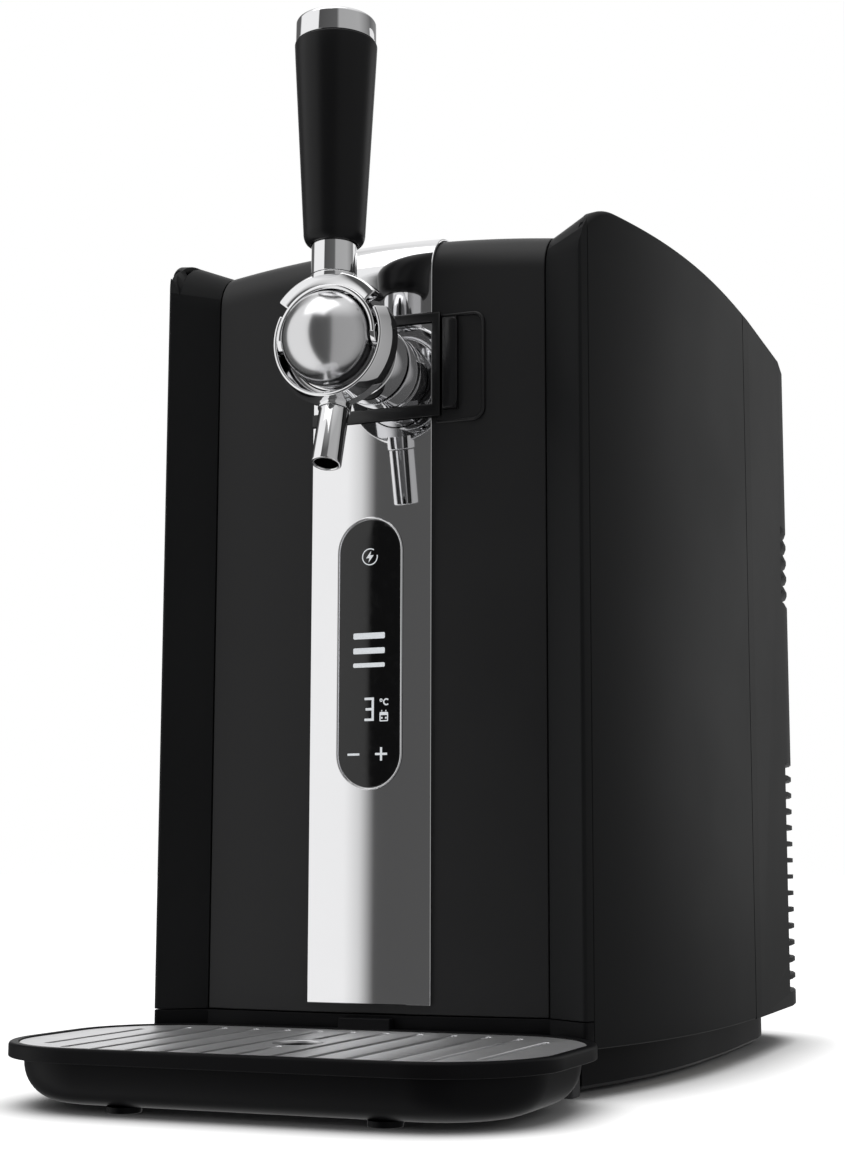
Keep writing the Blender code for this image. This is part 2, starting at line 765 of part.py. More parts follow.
def front_frame():
    """The frame that the door closes on, with a jamb along each side shell."""
    inner = [(swing_x(y, SWING_CLEARANCE), y) for y in depths(JAMB_FRONT_RIGHT_Y, FRAME_FRONT, 5)]
    inset = SHELL_WALL + 2 * GAP
    back = FRAME_FRONT + FRAME_WALL
    outer = [(side_x(y) - inset, y) for y in depths(back, JAMB_FRONT_RIGHT_Y, 5)]
    half = [*inner[::-1], *outer[::-1]]
    ring = [*half, *mirrored(half)]
    frame = piece("front_frame", prism(ring, FASCIA_TOP + GAP, FRAME_TOP), BLACK_BASE)
    opening = box(
        (-FRAME_OPENING_X, FRAME_FRONT - OVERRUN, FRAME_OPENING_LOW),
        (FRAME_OPENING_X, back + OVERRUN, FRAME_OPENING_HIGH),
    )
    cut(frame, opening, "opening")
    cut(frame, catch_strip_shape(GAP, OVERRUN), "catch_seat")
    return frame


def catch_strip_shape(play, proud):
    middle = (FRAME_OPENING_X + swing_x(FRAME_FRONT)) / 2
    near = FRAME_FRONT + GAP / 2
    reach = CATCH_HEIGHT / 2 + play
    low = (middle - CATCH_WIDTH / 2 - play, near - proud, CATCH_MIDDLE_Z - reach)
    high = (middle + CATCH_WIDTH / 2 + play, near + CATCH_WALL + play, CATCH_MIDDLE_Z + reach)
    return box(low, high)


def plinth():
    """The base pan that carries the cabinet, hollow underneath."""
    levels = [(PLINTH_INSET + PLINTH_EDGE, PLINTH_BOTTOM), (PLINTH_INSET, PLINTH_BOTTOM + PLINTH_EDGE)]
    levels.append((PLINTH_INSET, PLINTH_TOP))
    rings = []
    for inset, z in levels:
        front = PLINTH_FRONT + inset - PLINTH_INSET
        rings.append([(x, y, z) for x, y in body_ring(inset, front, 6)])
    base = piece("base_plinth", loft(rings), BLACK_BASE, smooth=True)
    ring = body_ring(PLINTH_INSET + PLINTH_WALL, PLINTH_FRONT + PLINTH_WALL, 6)
    cut(base, prism(ring, PLINTH_BOTTOM - OVERRUN, PLINTH_TOP - PLINTH_FLOOR), "underside")
    return base


def feet():
    for side, word in ((-1, "left"), (1, "right")):
        place = Matrix.Translation((side * REAR_FOOT_X, REAR_FOOT_Y, 0))
        height = PLINTH_TOP - PLINTH_FLOOR - GAP
        edge = FOOT_RADIUS * FOOT_EDGE_SHARE
        profile = [(FOOT_RADIUS - edge, 0), (FOOT_RADIUS, edge), (FOOT_RADIUS, height)]
        piece(f"foot_rear_{word}", turned(profile, SMALL_ROUND_STEPS, place=place), GREY_FOOT, smooth=True)
        middle = side * FRONT_FOOT_X
        half = FRONT_FOOT_WIDTH / 2
        ring = round_rectangle(half, FRONT_FOOT_Y - FRONT_FOOT_DEPTH / 2, FRONT_FOOT_Y + FRONT_FOOT_DEPTH / 2, edge)
        ring = [(x + middle, y) for x, y in ring]
        piece(f"foot_front_{word}", prism(ring, 0, SHELL_BOTTOM - GAP), GREY_FOOT, smooth=True)


# Keg chamber and cooling


def chamber_liner():
    """The smooth box that the keg stands in: a sleeve of four walls and a back panel."""
    front = FRAME_FRONT + FRAME_WALL + GAP
    half = LINER_X + LINER_WALL
    low = (-half, front, LINER_LOW - LINER_WALL)
    high = (half, LINER_BACK - GAP, LINER_HIGH + LINER_WALL)
    liner = piece("chamber_liner", box(low, high), LINER_GREY)
    cut(liner, box((-LINER_X, front - OVERRUN, LINER_LOW), (LINER_X, LINER_BACK, LINER_HIGH)), "inside")
    cut(liner, stem_hole(), "stem_hole")
    low = (-half, LINER_BACK, LINER_LOW - LINER_WALL)
    high = (half, LINER_BACK + LINER_WALL, LINER_HIGH + LINER_WALL)
    back = piece("liner_back", box(low, high), LINER_GREY)
    window = square_block(COLD_PLATE_SIDE + 2 * GAP, LINER_BACK - OVERRUN, LINER_BACK + LINER_WALL + OVERRUN)
    cut(back, window, "plate_window")


def stem_hole():
    place = Matrix.Translation((0, COUPLER_Y, 0))
    return rod(COUPLER_STEM_RADIUS + GAP, LINER_HIGH - OVERRUN, JACKET_TOP + OVERRUN, place)


def square_block(side, near, far):
    """A square block on the cooling unit's axis."""
    return box((-side / 2, near, COOLER_Z - side / 2), (side / 2, far, COOLER_Z + side / 2))


def insulation_jacket():
    """Foam between the liner and the cabinet walls."""
    front = FRAME_FRONT + FRAME_WALL + GAP
    half = [(side_x(y, JACKET_INSET), y) for y in depths(front, JACKET_BACK, 6)]
    jacket = piece("insulation_jacket", prism([*half, *mirrored(half)], JACKET_LOW, JACKET_TOP), FOAM_CREAM)
    reach = LINER_X + LINER_WALL + GAP
    low = (-reach, front - OVERRUN, LINER_LOW - LINER_WALL - GAP)
    high = (reach, LINER_BACK + LINER_WALL + GAP, LINER_HIGH + LINER_WALL + GAP)
    cut(jacket, box(low, high), "inside")
    cut(jacket, square_block(COLD_PLATE_SIDE + 2 * WINDOW_PLAY, LINER_BACK, JACKET_BACK + OVERRUN), "plate_window")
    cut(jacket, stem_hole(), "stem_hole")


def cooling_unit():
    """Cold plate, thermoelectric module, finned heat sink and fan, one behind the other."""
    plate_back = LINER_BACK + COLD_PLATE_WALL
    piece("cold_plate", square_block(COLD_PLATE_SIDE, LINER_BACK, plate_back), ALUMINIUM)
    module_back = plate_back + GAP + PELTIER_WALL
    piece("thermoelectric_module", square_block(PELTIER_SIDE, plate_back + GAP, module_back), CERAMIC_WHITE)
    base_front = module_back + GAP
    base_back = base_front + SINK_BASE
    fin_back = base_front + SINK_DEPTH
    pitch = (SINK_SIDE - SINK_FIN_WALL) / (SINK_FINS - 1)
    ring = [(SINK_SIDE / 2, base_front)]
    for fin in range(SINK_FINS):
        right = SINK_SIDE / 2 - fin * pitch
        ring += [(right, fin_back), (right - SINK_FIN_WALL, fin_back)]
        if fin < SINK_FINS - 1:
            ring += [(right - SINK_FIN_WALL, base_back), (right - pitch, base_back)]
    ring.append((-SINK_SIDE / 2, base_front))
    piece("heat_sink", prism(ring, COOLER_Z - SINK_SIDE / 2, COOLER_Z + SINK_SIDE / 2), ALUMINIUM)
    fan(fin_back + GAP)


def fan(front):
    """A square fan housing with a hub on a pin, and the rotor that turns on it."""
    back = front + FAN_DEPTH
    housing = piece("fan_housing", square_block(SINK_SIDE, front, back), BLACK_TRIM)
    axis = along_y(0, 0, COOLER_Z)
    cut(housing, rod(FAN_BORE_RADIUS, front - OVERRUN, back + OVERRUN, axis, ROUND_STEPS), "bore")
    reach = FAN_BORE_RADIUS + FAN_RIM / 2
    half = FAN_STRUT_WIDTH / 2
    near = back - FAN_STRUT_WALL
    level = box((-reach, near, COOLER_Z - half), (reach, back, COOLER_Z + half))
    upright = box((-half, near, COOLER_Z - reach), (half, back, COOLER_Z + reach))
    join(housing, level, "strut_level")
    join(housing, upright, "strut_upright")
    join(housing, rod(FAN_HUB_RADIUS, near - GAP, back - GAP, axis, ROUND_STEPS), "boss")
    pin_front = front + FAN_PIN_START
    join(housing, rod(FAN_PIN_RADIUS, pin_front, near + GAP, axis), "pin")
    hub_back = near - 2 * GAP
    hub_front = hub_back - FAN_HUB_DEPTH
    profile = [
        (AXIS_NEAR, hub_front),
        (FAN_HUB_RADIUS - GAP, hub_front),
        (FAN_HUB_RADIUS, hub_front + GAP),
        (FAN_HUB_RADIUS, hub_back),
        (FAN_PIN_RADIUS + GAP, hub_back),
        (FAN_PIN_RADIUS + GAP, pin_front - GAP),
        (AXIS_NEAR, pin_front - GAP),
    ]
    centre = (0, 0, COOLER_Z)
    hub = turned(profile, ROUND_STEPS, place=axis)
    rotor = piece("fan_rotor", hub, BLACK_TRIM, axis_point=centre, smooth=True)
    middle = (hub_front + hub_back) / 2
    tip = FAN_BORE_RADIUS - FAN_TIP_PLAY
    root = FAN_HUB_RADIUS - FAN_TIP_PLAY
    for blade in range(FAN_BLADES):
        points, faces = box(
            (-FAN_BLADE_CHORD / 2, -FAN_BLADE_WALL / 2, root),
            (FAN_BLADE_CHORD / 2, FAN_BLADE_WALL / 2, tip),
        )
        turn = Matrix.Rotation(2 * math.pi * blade / FAN_BLADES, 4, "Y")
        place = Matrix.Translation((0, middle, COOLER_Z)) @ turn @ Matrix.Rotation(FAN_BLADE_PITCH, 4, "Z")
        join(rotor, ([place @ Vector(point) for point in points], faces), f"blade_{blade + 1}")


# Air supply


def keg_coupler():
    """The cup that seals on the keg's neck, hung under the chamber's ceiling, with its air barb."""
    top = LINER_HIGH - GAP
    bottom = top - COUPLER_DEPTH
    place = Matrix.Translation((0, COUPLER_Y, 0))
    profile = [
        (COUPLER_STEM_RADIUS - COUPLER_WALL / 2, bottom + COUPLER_WALL),
        (COUPLER_RADIUS - COUPLER_WALL, bottom + COUPLER_WALL),
        (COUPLER_RADIUS - COUPLER_WALL, bottom),
        (COUPLER_RADIUS, bottom),
        (COUPLER_RADIUS, top),
        (COUPLER_STEM_RADIUS, top),
        (COUPLER_STEM_RADIUS, COUPLER_STEM_TOP),
        (COUPLER_STEM_RADIUS - COUPLER_WALL / 2, COUPLER_STEM_TOP),
    ]
    shape = turned(profile, ROUND_STEPS, closed=True, place=place)
    coupler = piece("keg_coupler", shape, BLACK_TRIM, smooth=True)
    start = COUPLER_STEM_RADIUS - COUPLER_WALL / 4
    join(coupler, rod(BARB_RADIUS, start, start + BARB_LENGTH, along_y(0, COUPLER_Y, BARB_Z)), "barb")


def smooth_route(stops, count):
    """Points at even steps of a Catmull-Rom curve through the stops of a route."""
    ends = [2 * stops[0] - stops[1], *stops, 2 * stops[-1] - stops[-2]]
    points = []
    for step in range(count):
        along = step / (count - 1) * (len(stops) - 1)
        leg = min(int(along), len(stops) - 2)
        t = along - leg
        a, b, c, d = ends[leg : leg + 4]
        points.append(0.5 * (2 * b + (c - a) * t + (2 * a - 5 * b + 4 * c - d) * t**2 + (3 * b - a - 3 * c + d) * t**3))
    return points


def air_hose():
    """The silicone hose from the pump's barb to the coupler's, over the top of the foam."""
    start = COUPLER_Y + COUPLER_STEM_RADIUS - COUPLER_WALL / 4 + BARB_LENGTH + GAP
    low = PLINTH_TOP + GAP + PUMP_HEIGHT + PUMP_BARB_HEIGHT + GAP
    barb_x = PUMP_X + PUMP_BARB_ACROSS
    barb_y = PUMP_Y + PUMP_BARB_ALONG
    middle = [(x, y, BARB_Z - drop) for x, y, drop in HOSE_TURNS]
    lower = [(barb_x, barb_y, low + (HOSE_DROP_TOP - low) * share) for share in HOSE_DROP_SHARES]
    stops = [Vector(point) for point in [(0, start, BARB_Z), *middle, *lower]]
    curve = bpy.data.curves.new("air_hose", "CURVE")
    curve.dimensions = "3D"
    curve.bevel_depth = HOSE_RADIUS
    curve.bevel_resolution = 2
    curve.use_fill_caps = True
    points = smooth_route(stops, HOSE_POINTS)
    spline = curve.splines.new("POLY")
    spline.points.add(len(points) - 1)
    for spot, point in zip(spline.points, points):
        spot.co = (*point, 1)
    curve.materials.append(HOSE_CLEAR)
    hose = bpy.data.objects.new("air_hose", curve)
    bpy.context.scene.collection.objects.link(hose)
    hose.parent = ROOT


def air_pump():
    """The diaphragm pump on the plinth with its motor on top."""
    low = PLINTH_TOP + GAP
    high = low + PUMP_HEIGHT
    half_x, half_y = PUMP_WIDTH / 2, PUMP_DEPTH / 2
    block = box((PUMP_X - half_x, PUMP_Y - half_y, low), (PUMP_X + half_x, PUMP_Y + half_y, high))
    body = piece("air_pump_body", block, BLACK_TRIM)
    barb = Matrix.Translation((PUMP_X + PUMP_BARB_ACROSS, PUMP_Y + PUMP_BARB_ALONG, 0))
    join(body, rod(BARB_RADIUS, high - OVERRUN, high + PUMP_BARB_HEIGHT, barb), "barb")
    place = Matrix.Translation((PUMP_X - half_x + PUMP_MOTOR_RADIUS, PUMP_Y, 0))
    motor = rod(PUMP_MOTOR_RADIUS, high + GAP, high + GAP + PUMP_MOTOR_HEIGHT, place, ROUND_STEPS)
    piece("air_pump_motor", motor, SATIN_STEEL, smooth=True)


# Electrics


def power_board():
    """The power supply and control board, standing on its foot on the plinth."""
    low = PLINTH_TOP + GAP
    near, far = BOARD_Y - BOARD_LENGTH / 2, BOARD_Y + BOARD_LENGTH / 2
    board = piece(
        "power_board", box((BOARD_X, near, low), (BOARD_X + BOARD_WALL, far, low + BOARD_HEIGHT)), BOARD_GREEN
    )
    foot = box((BOARD_X - BOARD_FOOT, near, low), (BOARD_X + BOARD_WALL / 2, far, low + 2 * BOARD_WALL))
    join(board, foot, "foot")
    for share in BOARD_BLOCK_SHARES:
        middle = near + BOARD_LENGTH * share
        base = low + BOARD_HEIGHT * share - BOARD_BLOCK_HEIGHT / 2
        block = box(
            (BOARD_X - BOARD_BLOCK * share, middle - BOARD_BLOCK / 2, base),
            (BOARD_X + BOARD_WALL / 2, middle + BOARD_BLOCK / 2, base + BOARD_BLOCK_HEIGHT),
        )
        join(board, block, f"block_{int(100 * share)}")


def flanged_body(name, x, width, height, depth):
    """A flange that lies in the rear recess with a body behind it."""
    back = BODY_BACK
    face = BODY_BACK - RECESS_DEPTH + GAP
    half_x, half_z = width / 2, height / 2
    flange = box((x - half_x, face, INLET_Z - half_z), (x + half_x, back, INLET_Z + half_z))
    obj = piece(name, flange, BLACK_TRIM)
    half_x -= FLANGE_LIP
    half_z -= FLANGE_LIP
    low = (x - half_x, back - depth, INLET_Z - half_z)
    join(obj, box(low, (x + half_x, face + GAP, INLET_Z + half_z)), "body")
    return obj


def power_inlet():
    """The mains inlet: a socket with three blades."""
    inlet = flanged_body("power_inlet", INLET_X, INLET_WIDTH, INLET_HEIGHT, INLET_DEPTH)
    half_x, half_z = INLET_SOCKET_WIDTH / 2, INLET_SOCKET_HEIGHT / 2
    floor = BODY_BACK - INLET_SOCKET_DEPTH
    low = (INLET_X - half_x, floor, INLET_Z - half_z)
    cut(inlet, box(low, (INLET_X + half_x, BODY_BACK + OVERRUN, INLET_Z + half_z)), "socket")
    blades = []
    for across, up in INLET_BLADE_SHARES:
        x = INLET_X + across * INLET_BLADE_PITCH
        z = INLET_Z + up * INLET_BLADE_PITCH
        low = (x - INLET_BLADE_WIDTH / 2, floor - OVERRUN / 2, z - INLET_BLADE_HEIGHT / 2)
        high = (x + INLET_BLADE_WIDTH / 2, floor + INLET_BLADE_LENGTH, z + INLET_BLADE_HEIGHT / 2)
        blades.append(box(low, high))
    join(inlet, together(*blades), "blades")


def rocker_switch():
    """The switch frame and the rocker that tips in it about a level pin."""
    frame = flanged_body("switch_frame", SWITCH_X, SWITCH_WIDTH, SWITCH_HEIGHT, SWITCH_DEPTH)
    half_x = SWITCH_WIDTH / 2 - SWITCH_RIM - FLANGE_LIP
    half_z = SWITCH_HEIGHT / 2 - SWITCH_RIM
    low = (SWITCH_X - half_x, BODY_BACK - SWITCH_DEPTH - OVERRUN, INLET_Z - half_z + FLANGE_LIP)
    cut(frame, box(low, (SWITCH_X + half_x, BODY_BACK + OVERRUN, INLET_Z + half_z - FLANGE_LIP)), "window")
    pivot = (SWITCH_X, BODY_BACK - SWITCH_DEPTH / 2, INLET_Z)
    reach = half_x + SWITCH_RIM / 2
    hole = rod(ROCKER_PIN_RADIUS + GAP / 3, -reach - GAP, reach + GAP, along_x(*pivot))
    cut(frame, hole, "pin_holes")
    tall = half_z - FLANGE_LIP - ROCKER_PLAY
    deep = SWITCH_DEPTH / 2 - ROCKER_PLAY
    ring = []
    for y, z in ((-deep / 2, -tall / 2), (deep - ROCKER_PLAY, -tall), (deep - 2 * ROCKER_PLAY, 0)):
        ring.append((y, z))
    ring += [(deep - ROCKER_PLAY, tall), (-deep / 2, tall / 2)]
    tip = Matrix.Rotation(-ROCKER_TILT, 3, "X")
    tipped = []
    for y, z in ring:
        point = tip @ Vector((0, y, z))
        tipped.append((pivot[1] + point.y, pivot[2] + point.z))
    half_x -= GAP
    rocker = piece(
        "switch_rocker", side_prism(tipped, SWITCH_X - half_x, SWITCH_X + half_x), BLACK_TRIM, axis_point=pivot
    )
    join(rocker, rod(ROCKER_PIN_RADIUS, -reach, reach, along_x(*pivot)), "pin")


# Door


def door_shell():
    """The moulded door with both cheeks, a shallow pocket for the front panel and a hollow back."""
    pocket = (PANEL_BACK + GAP, PANEL_EDGE_TOP - PANEL_TOP_WALL - GAP, PANEL_RADIUS - PANEL_TOP_WALL - GAP)
    outer = RIDGE_X + OVERRUN
    rings = []
    for x in (-outer, -PANEL_X - STEP_RUN, -PANEL_X, PANEL_X, PANEL_X + STEP_RUN, outer):
        section = pocket if abs(x) <= PANEL_X else skin_section(x)
        line = [*skin_line(*section, DOOR_BOTTOM, DOOR_BACK), (DOOR_BACK, DOOR_BOTTOM)]
        rings.append([(x, y, z) for y, z in line])
    door = piece("door_shell", loft(rings), BLACK_SHELL, axis_point=(HINGE_X, HINGE_Y, 0), smooth=True)
    shape_with(door, prism(door_outline(), DOOR_BOTTOM - OVERRUN, SHELL_TOP + OVERRUN), "INTERSECT", "outline")
    floor = pocket[0] + DOOR_FLOOR_WALL
    half = swing_x(DOOR_BACK) - DOOR_WALL
    line = skin_line(floor, pocket[1] - DOOR_FLOOR_WALL, pocket[2] - DOOR_FLOOR_WALL, 0, DOOR_BACK + OVERRUN)
    low = DOOR_BOTTOM + DOOR_WALL
    cavity = [(line[0][0], low), *line[1:], (DOOR_BACK + OVERRUN, low)]
    cut(door, side_prism(cavity, -half, half), "cavity")
    cut(door, shank_hole(floor), "shank_hole")
    cut(door, pocket_block(GAP, DOOR_BACK), "pull_hole")
    for word, low in HINGE_HEIGHTS.items():
        base = low + KNUCKLE_HEIGHT + GAP
        place = Matrix.Translation((HINGE_X, HINGE_Y, 0))
        join(door, rod(KNUCKLE_RADIUS, base, base + KNUCKLE_HEIGHT, place), f"{word}_knuckle")
        web = box(
            (HINGE_X, HINGE_Y - HINGE_LEAF_WALL / 2, base),
            (-DOOR_HINGE_SIDE_X + KNUCKLE_RADIUS, HINGE_Y + HINGE_LEAF_WALL / 2, base + KNUCKLE_HEIGHT),
        )
        join(door, web, f"{word}_web")
        bore = rod(HINGE_PIN_RADIUS + HINGE_BORE_PLAY, base - OVERRUN, base + KNUCKLE_HEIGHT + OVERRUN, place)
        cut(door, bore, f"{word}_bore")


def door_outline():
    """Plan outline that the door keeps: rounded ridges, parting edges, sides clear of its own swing."""

    def nose(edge):
        arc = nose_arc(edge, NOSE_TURN_SHARES)
        entry, ahead = Vector(nose_arc(edge, NOSE_ENTRY_SHARES)[0]), Vector(arc[0])
        lead = ahead + (entry - ahead).normalized() * OVERRUN * 2
        return [(lead.x, RIDGE_Y - OVERRUN), tuple(lead), *arc, (side_x(edge), edge)]

    right_side = [(swing_x(y), y) for y in depths(DOOR_EDGE_RIGHT_Y, DOOR_BACK, 4)]
    far = DOOR_BACK + OVERRUN
    right = [*nose(DOOR_EDGE_RIGHT_Y), *right_side, (right_side[-1][0], far)]
    left_side = [(DOOR_HINGE_SIDE_X, DOOR_EDGE_LEFT_Y), (swing_x(DOOR_BACK), DOOR_BACK), (swing_x(DOOR_BACK), far)]
    return [*right, *mirrored([*nose(DOOR_EDGE_LEFT_Y), *left_side])]


def shank_hole(far):
    return rod(SHANK_NECK_RADIUS + GAP, STRIP_FRONT - OVERRUN, far + OVERRUN, along_y(0, 0, TAP_Z), ROUND_STEPS)


def pocket_block(play, far):
    """The block that the pocket of the door pull fills, from ahead of the panel."""
    low = (CUP_LEFT - play, STRIP_FRONT - OVERRUN, POCKET_LOW - POCKET_WALL - play)
    return box(low, (POCKET_RIGHT + POCKET_WALL + play, far, POCKET_HIGH + POCKET_WALL + play))


def front_panel():
    """The bowed front panel, which turns back over the top edge."""
    half = PANEL_X - PANEL_SEAM
    rings = []
    for x in depths(-half, half, 12):
        outer = skin_line(*skin_section(x), DOOR_BOTTOM, DOOR_BACK)
        top = PANEL_EDGE_TOP - PANEL_TOP_WALL
        inner = skin_line(PANEL_BACK, top, PANEL_RADIUS - PANEL_TOP_WALL, DOOR_BOTTOM, DOOR_BACK)
        rings.append([(x, y, z) for y, z in [*outer, *inner[::-1]]])
    panel = piece("door_front_panel", loft(rings), BLACK_PANEL, axis_point=(HINGE_X, HINGE_Y, 0), smooth=True)
    cut(panel, shank_hole(PANEL_BACK), "shank_hole")
    cut(panel, pocket_block(GAP, DOOR_BACK), "pull_hole")
    half = DISPLAY_BOARD_X + GAP
    window = box(
        (-half, STRIP_FRONT, PILL_LOW + DISPLAY_BOARD_END - GAP),
        (half, PANEL_BACK + OVERRUN, PILL_HIGH - DISPLAY_BOARD_END + GAP),
    )
    cut(panel, window, "display_window")


def strip_rings(low, proud, top_proud, back, lift):
    """Rings of a curved plate that lies on the panel, from low up and back over the top edge."""
    rings = []
    for x in depths(-STRIP_X, STRIP_X, 4):
        front, top, radius = skin_section(x)
        outer = skin_line(front - proud, top + top_proud, radius + top_proud, low, back)
        inner = skin_line(front - lift, top + lift, radius + lift, low, back)
        rings.append([(x, y, z) for y, z in [*outer, *inner[::-1]]])
    return rings


def flat_strip(low, high, proud):
    """A bowed plate that lies on the panel between two heights."""
    rings = []
    for x in depths(-STRIP_X, STRIP_X, 4):
        front = skin_section(x)[0]
        near, far = front - proud, front - GAP
        rings.append([(x, near, low), (x, near, high), (x, far, high), (x, far, low)])
    return loft(rings)


def chrome_strip():
    """The bright strip, in one length below the tap and one above that wraps over the top."""
    low, high = STRIP_BOTTOM, BAR_LOWER_LOW - GAP
    lower = piece("chrome_strip_lower", flat_strip(low, high, STRIP_PROUD), CHROME, smooth=True)
    window = front_prism(pill(PILL_X + GAP, PILL_LOW - GAP, PILL_HIGH + GAP), STRIP_FRONT - OVERRUN, PANEL_BACK)
    cut(lower, window, "display_window")
    rings = strip_rings(BAR_UPPER_HIGH + GAP, STRIP_PROUD, STRIP_TOP_PROUD, DOOR_BACK, GAP)
    piece("chrome_strip_upper", loft(rings), CHROME, smooth=True)
    plate = flat_strip(BAR_LOWER_HIGH + GAP, BAR_UPPER_LOW - GAP, TAP_PLATE_WALL + GAP)
    tap_plate = piece("tap_plate", plate, CHROME, smooth=True)
    cut(tap_plate, shank_hole(PANEL_BACK), "shank_hole")


def door_inside():
    """Liner, foam and gasket that close the back of the door."""
    half = swing_x(DOOR_BACK) - DOOR_WALL - GAP
    low = DOOR_BOTTOM + DOOR_WALL + GAP
    high = PANEL_EDGE_TOP - PANEL_TOP_WALL - DOOR_FLOOR_WALL - 3 * GAP
    front = DOOR_BACK - DOOR_LINER_WALL
    liner = piece("door_liner", box((-half, front, low), (half, DOOR_BACK - GAP, high)), LINER_GREY)
    cut(liner, rod(SHANK_BORE_RADIUS, front - OVERRUN, DOOR_BACK + OVERRUN, along_y(0, 0, TAP_Z)), "line_hole")
    near = PANEL_BACK + DOOR_FLOOR_WALL + 2 * GAP
    foam_high = POCKET_LOW - POCKET_WALL - GAP
    piece("door_foam", box((-half, near, low), (half, front - GAP, foam_high)), FOAM_CREAM)
    outer_x = FRAME_OPENING_X + GASKET_WIDTH + GAP
    outer = (FRAME_OPENING_LOW - GASKET_WIDTH, FRAME_OPENING_HIGH + GASKET_WIDTH)
    near, far = DOOR_BACK + GAP, DOOR_BACK + GAP + GASKET_WALL
    gasket = piece("door_gasket", box((-outer_x, near, outer[0]), (outer_x, far, outer[1])), RUBBER_BLACK)
    inner_x = outer_x - GASKET_WIDTH
    inner = (outer[0] + GASKET_WIDTH, outer[1] - GASKET_WIDTH)
    cut(gasket, box((-inner_x, near - OVERRUN, inner[0]), (inner_x, far + OVERRUN, inner[1])), "middle")


def hinges():
    """The two door hinges: a leaf on the left jamb with its knuckle, and the pin through both knuckles."""
    place = Matrix.Translation((HINGE_X, HINGE_Y, 0))
    for word, low in HINGE_HEIGHTS.items():
        high = low + KNUCKLE_HEIGHT
        leaf = piece(f"hinge_leaf_{word}", rod(KNUCKLE_RADIUS, low, high, place), SATIN_STEEL)
        far = JAMB_FRONT_RIGHT_Y - GAP
        web = box(
            (HINGE_X - HINGE_LEAF_WALL / 2, HINGE_Y, low), (HINGE_X + HINGE_LEAF_WALL / 2, far - GAP, high)
        )
        join(leaf, web, "web")
        half = HINGE_FLANGE_WIDTH / 2
        flange = box((HINGE_X - half, far - HINGE_FLANGE_WALL, low), (HINGE_X + half, far, high))
        join(leaf, flange, "flange")
        bore = rod(HINGE_PIN_RADIUS + HINGE_BORE_PLAY, low - OVERRUN, high + OVERRUN, place)
        cut(leaf, bore, "bore")
        pin = rod(HINGE_PIN_RADIUS, low, high + GAP + KNUCKLE_HEIGHT, place)
        piece(f"hinge_pin_{word}", pin, SATIN_STEEL, smooth=True)


def tap_frame():
    """The black frame: two bars across the strip, an upright, and the pocket of the door pull."""
    left = -STRIP_X
    right = BAR_UPRIGHT_RIGHT
    ring = [
        (left, BAR_LOWER_LOW),
        (right, BAR_LOWER_LOW),
        (right, BAR_UPPER_HIGH),
        (left, BAR_UPPER_HIGH),
        (left, BAR_UPPER_LOW),
        (BAR_UPRIGHT_LEFT, BAR_UPPER_LOW),
        (BAR_UPRIGHT_LEFT, BAR_LOWER_HIGH),
        (left, BAR_LOWER_HIGH),
    ]
    frame = piece("tap_frame", front_prism(ring, BAR_FRONT, BAR_BACK), BLACK_TRIM)
    low_z, high_z = POCKET_LOW - POCKET_WALL, POCKET_HIGH + POCKET_WALL
    back = POCKET_FLOOR + POCKET_WALL
    upright = box((CUP_LEFT + GAP, BAR_FRONT + GAP, BAR_LOWER_LOW + GAP), (right, 0, high_z - GAP))
    join(frame, upright, "upright")
    cup = box((CUP_LEFT, POCKET_RIM, low_z), (POCKET_RIGHT + POCKET_WALL, back, high_z))
    join(frame, cup, "cup")
    pocket = box((right, BAR_FRONT - OVERRUN, POCKET_LOW), (POCKET_RIGHT, POCKET_FLOOR, POCKET_HIGH))
    cut(frame, pocket, "pocket")


def door_pull():
    """The grip in the pocket, hinged on an upright pin at its inner edge."""
    axis = (PULL_AXIS_X, PULL_AXIS_Y, 0)
    grip = box((PULL_LEFT, PULL_FRONT, PULL_LOW), (PULL_RIGHT, PULL_FRONT + PULL_WALL, PULL_HIGH))
    pull = piece("door_pull", grip, BLACK_TRIM, axis_point=axis)
    place = Matrix.Translation(axis)
    low, high = PULL_LOW + GAP, PULL_HIGH - GAP
    join(pull, rod(PULL_BARREL_RADIUS, low, high, place), "barrel")
    cut(pull, rod(PULL_PIN_RADIUS + PULL_PLAY, PULL_LOW - OVERRUN, PULL_HIGH + OVERRUN, place), "bore")
    pin = rod(PULL_PIN_RADIUS, POCKET_LOW + GAP, POCKET_HIGH - GAP, place)
    piece("pull_pin", pin, SATIN_STEEL, smooth=True)


